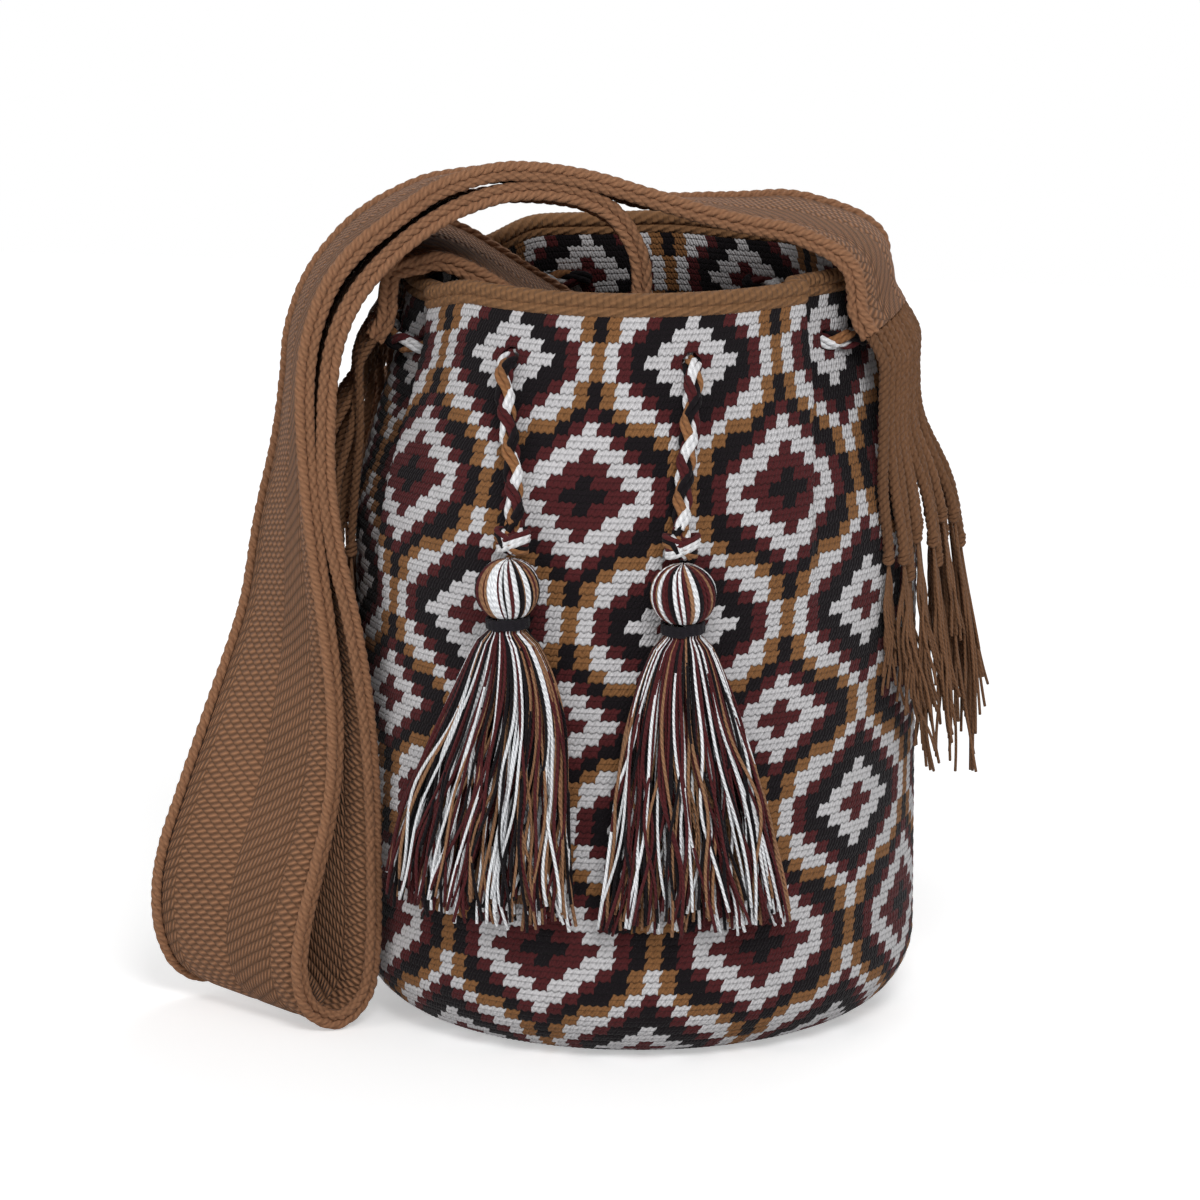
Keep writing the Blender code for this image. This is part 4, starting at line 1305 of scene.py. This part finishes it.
def skirt_strand(side, number, count, layer):
    """One cut end, from under the binding to the hem, with its own drift, waves and length."""
    turned = 2.0 * math.pi * (number + chance.uniform(-0.9, 0.9)) / count
    drift = chance.gauss(0.0, 0.10)
    waves = []
    for n in range(3):
        phase = chance.uniform(*ANY_TURN)
        waves.append((phase, chance.uniform(0.0, 0.13) / (1 + n), 4.5 + 4.5 * n))
    depth_phase = chance.uniform(*ANY_TURN)
    lift = chance.uniform(-0.10, 0.06)
    length = chance.uniform(0.90, 1.02)
    if chance.random() < STRAY_SHARE:
        drift += chance.choice((-1.0, 1.0)) * chance.uniform(0.12, 0.30)
    strand = []
    for i in range(SKIRT_POINTS + 1):
        share = i / SKIRT_POINTS * length
        loosened = smooth(share * 1.6)
        sideways = math.sin(turned) * layer + loosened * drift * share
        for phase, size, pace in waves:
            sideways += loosened * size * math.sin(phase + pace * share)
        sideways = max(-SKIRT_SIDE, min(SKIRT_SIDE, sideways))
        inwards = math.cos(turned) * layer
        inwards += loosened * (lift + 0.13 * math.sin(depth_phase + 7.0 * share))
        strand.append(skirt_place(side, min(share, HEM_REACH), sideways, min(inwards, SKIRT_BACK)))
    strand.insert(0, strand[0] + Vector((0.0, 0.0, SKIRT_START)))
    return strand


def binding_coil(side, neck):
    """The wound yarn, from the neck down."""
    coil = []
    last = BINDING_TURNS * BINDING_POINTS
    for i in range(last + 1):
        height = neck - BINDING_INSET - (BINDING_HEIGHT - 2.0 * BINDING_INSET) * i / last
        reach = NECK_RADIUS + BINDING_STAND + 0.0002 * math.sin(2.3 * i)
        coil.append(beside_axis(side, 2.0 * math.pi * i / BINDING_POINTS, reach, height))
    return coil


for side, seed in (("left", 31), ("right", 58)):
    chance = random.Random(seed)
    body = f"{side}_tassel"
    top = KNOT_HEIGHT - 0.5 * KNOT_SIZE[2] - HEAD_GAP
    tassel = new_yarns()
    for number, dye in enumerate(shades_in_bunches(HEAD_YARNS, chance, (1, 1, 2, 2))):
        strand = head_strand(side, number, top)
        lay_yarn(tassel, strand, HEAD_YARN, dye=dye, tone=chance.uniform(0.2, 0.9))
    for layer, count in SKIRT_LAYERS:
        for number, dye in enumerate(shades_in_bunches(count, chance, (1, 1, 1, 2))):
            strand = skirt_strand(side, number, count, layer)
            thickness = SKIRT_YARN * chance.uniform(0.85, 1.15)
            lay_yarn(tassel, strand, thickness, sides=5, dye=dye, tone=chance.uniform(0.1, 1.0))
    tassel_piece = yarn_piece(f"tassel_yarns_{side}", tassel, tassel_finish, body)
    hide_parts(f"tassel_{side}")

    winding = new_yarns()
    lay_yarn(winding, binding_coil(side, top - HEAD_HEIGHT), BINDING_YARN, dye=BLACK_DYE)
    binding_piece = yarn_piece(f"binding_yarns_{side}", winding, binding_finish, body)
    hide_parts(f"tassel_{side}_binding")
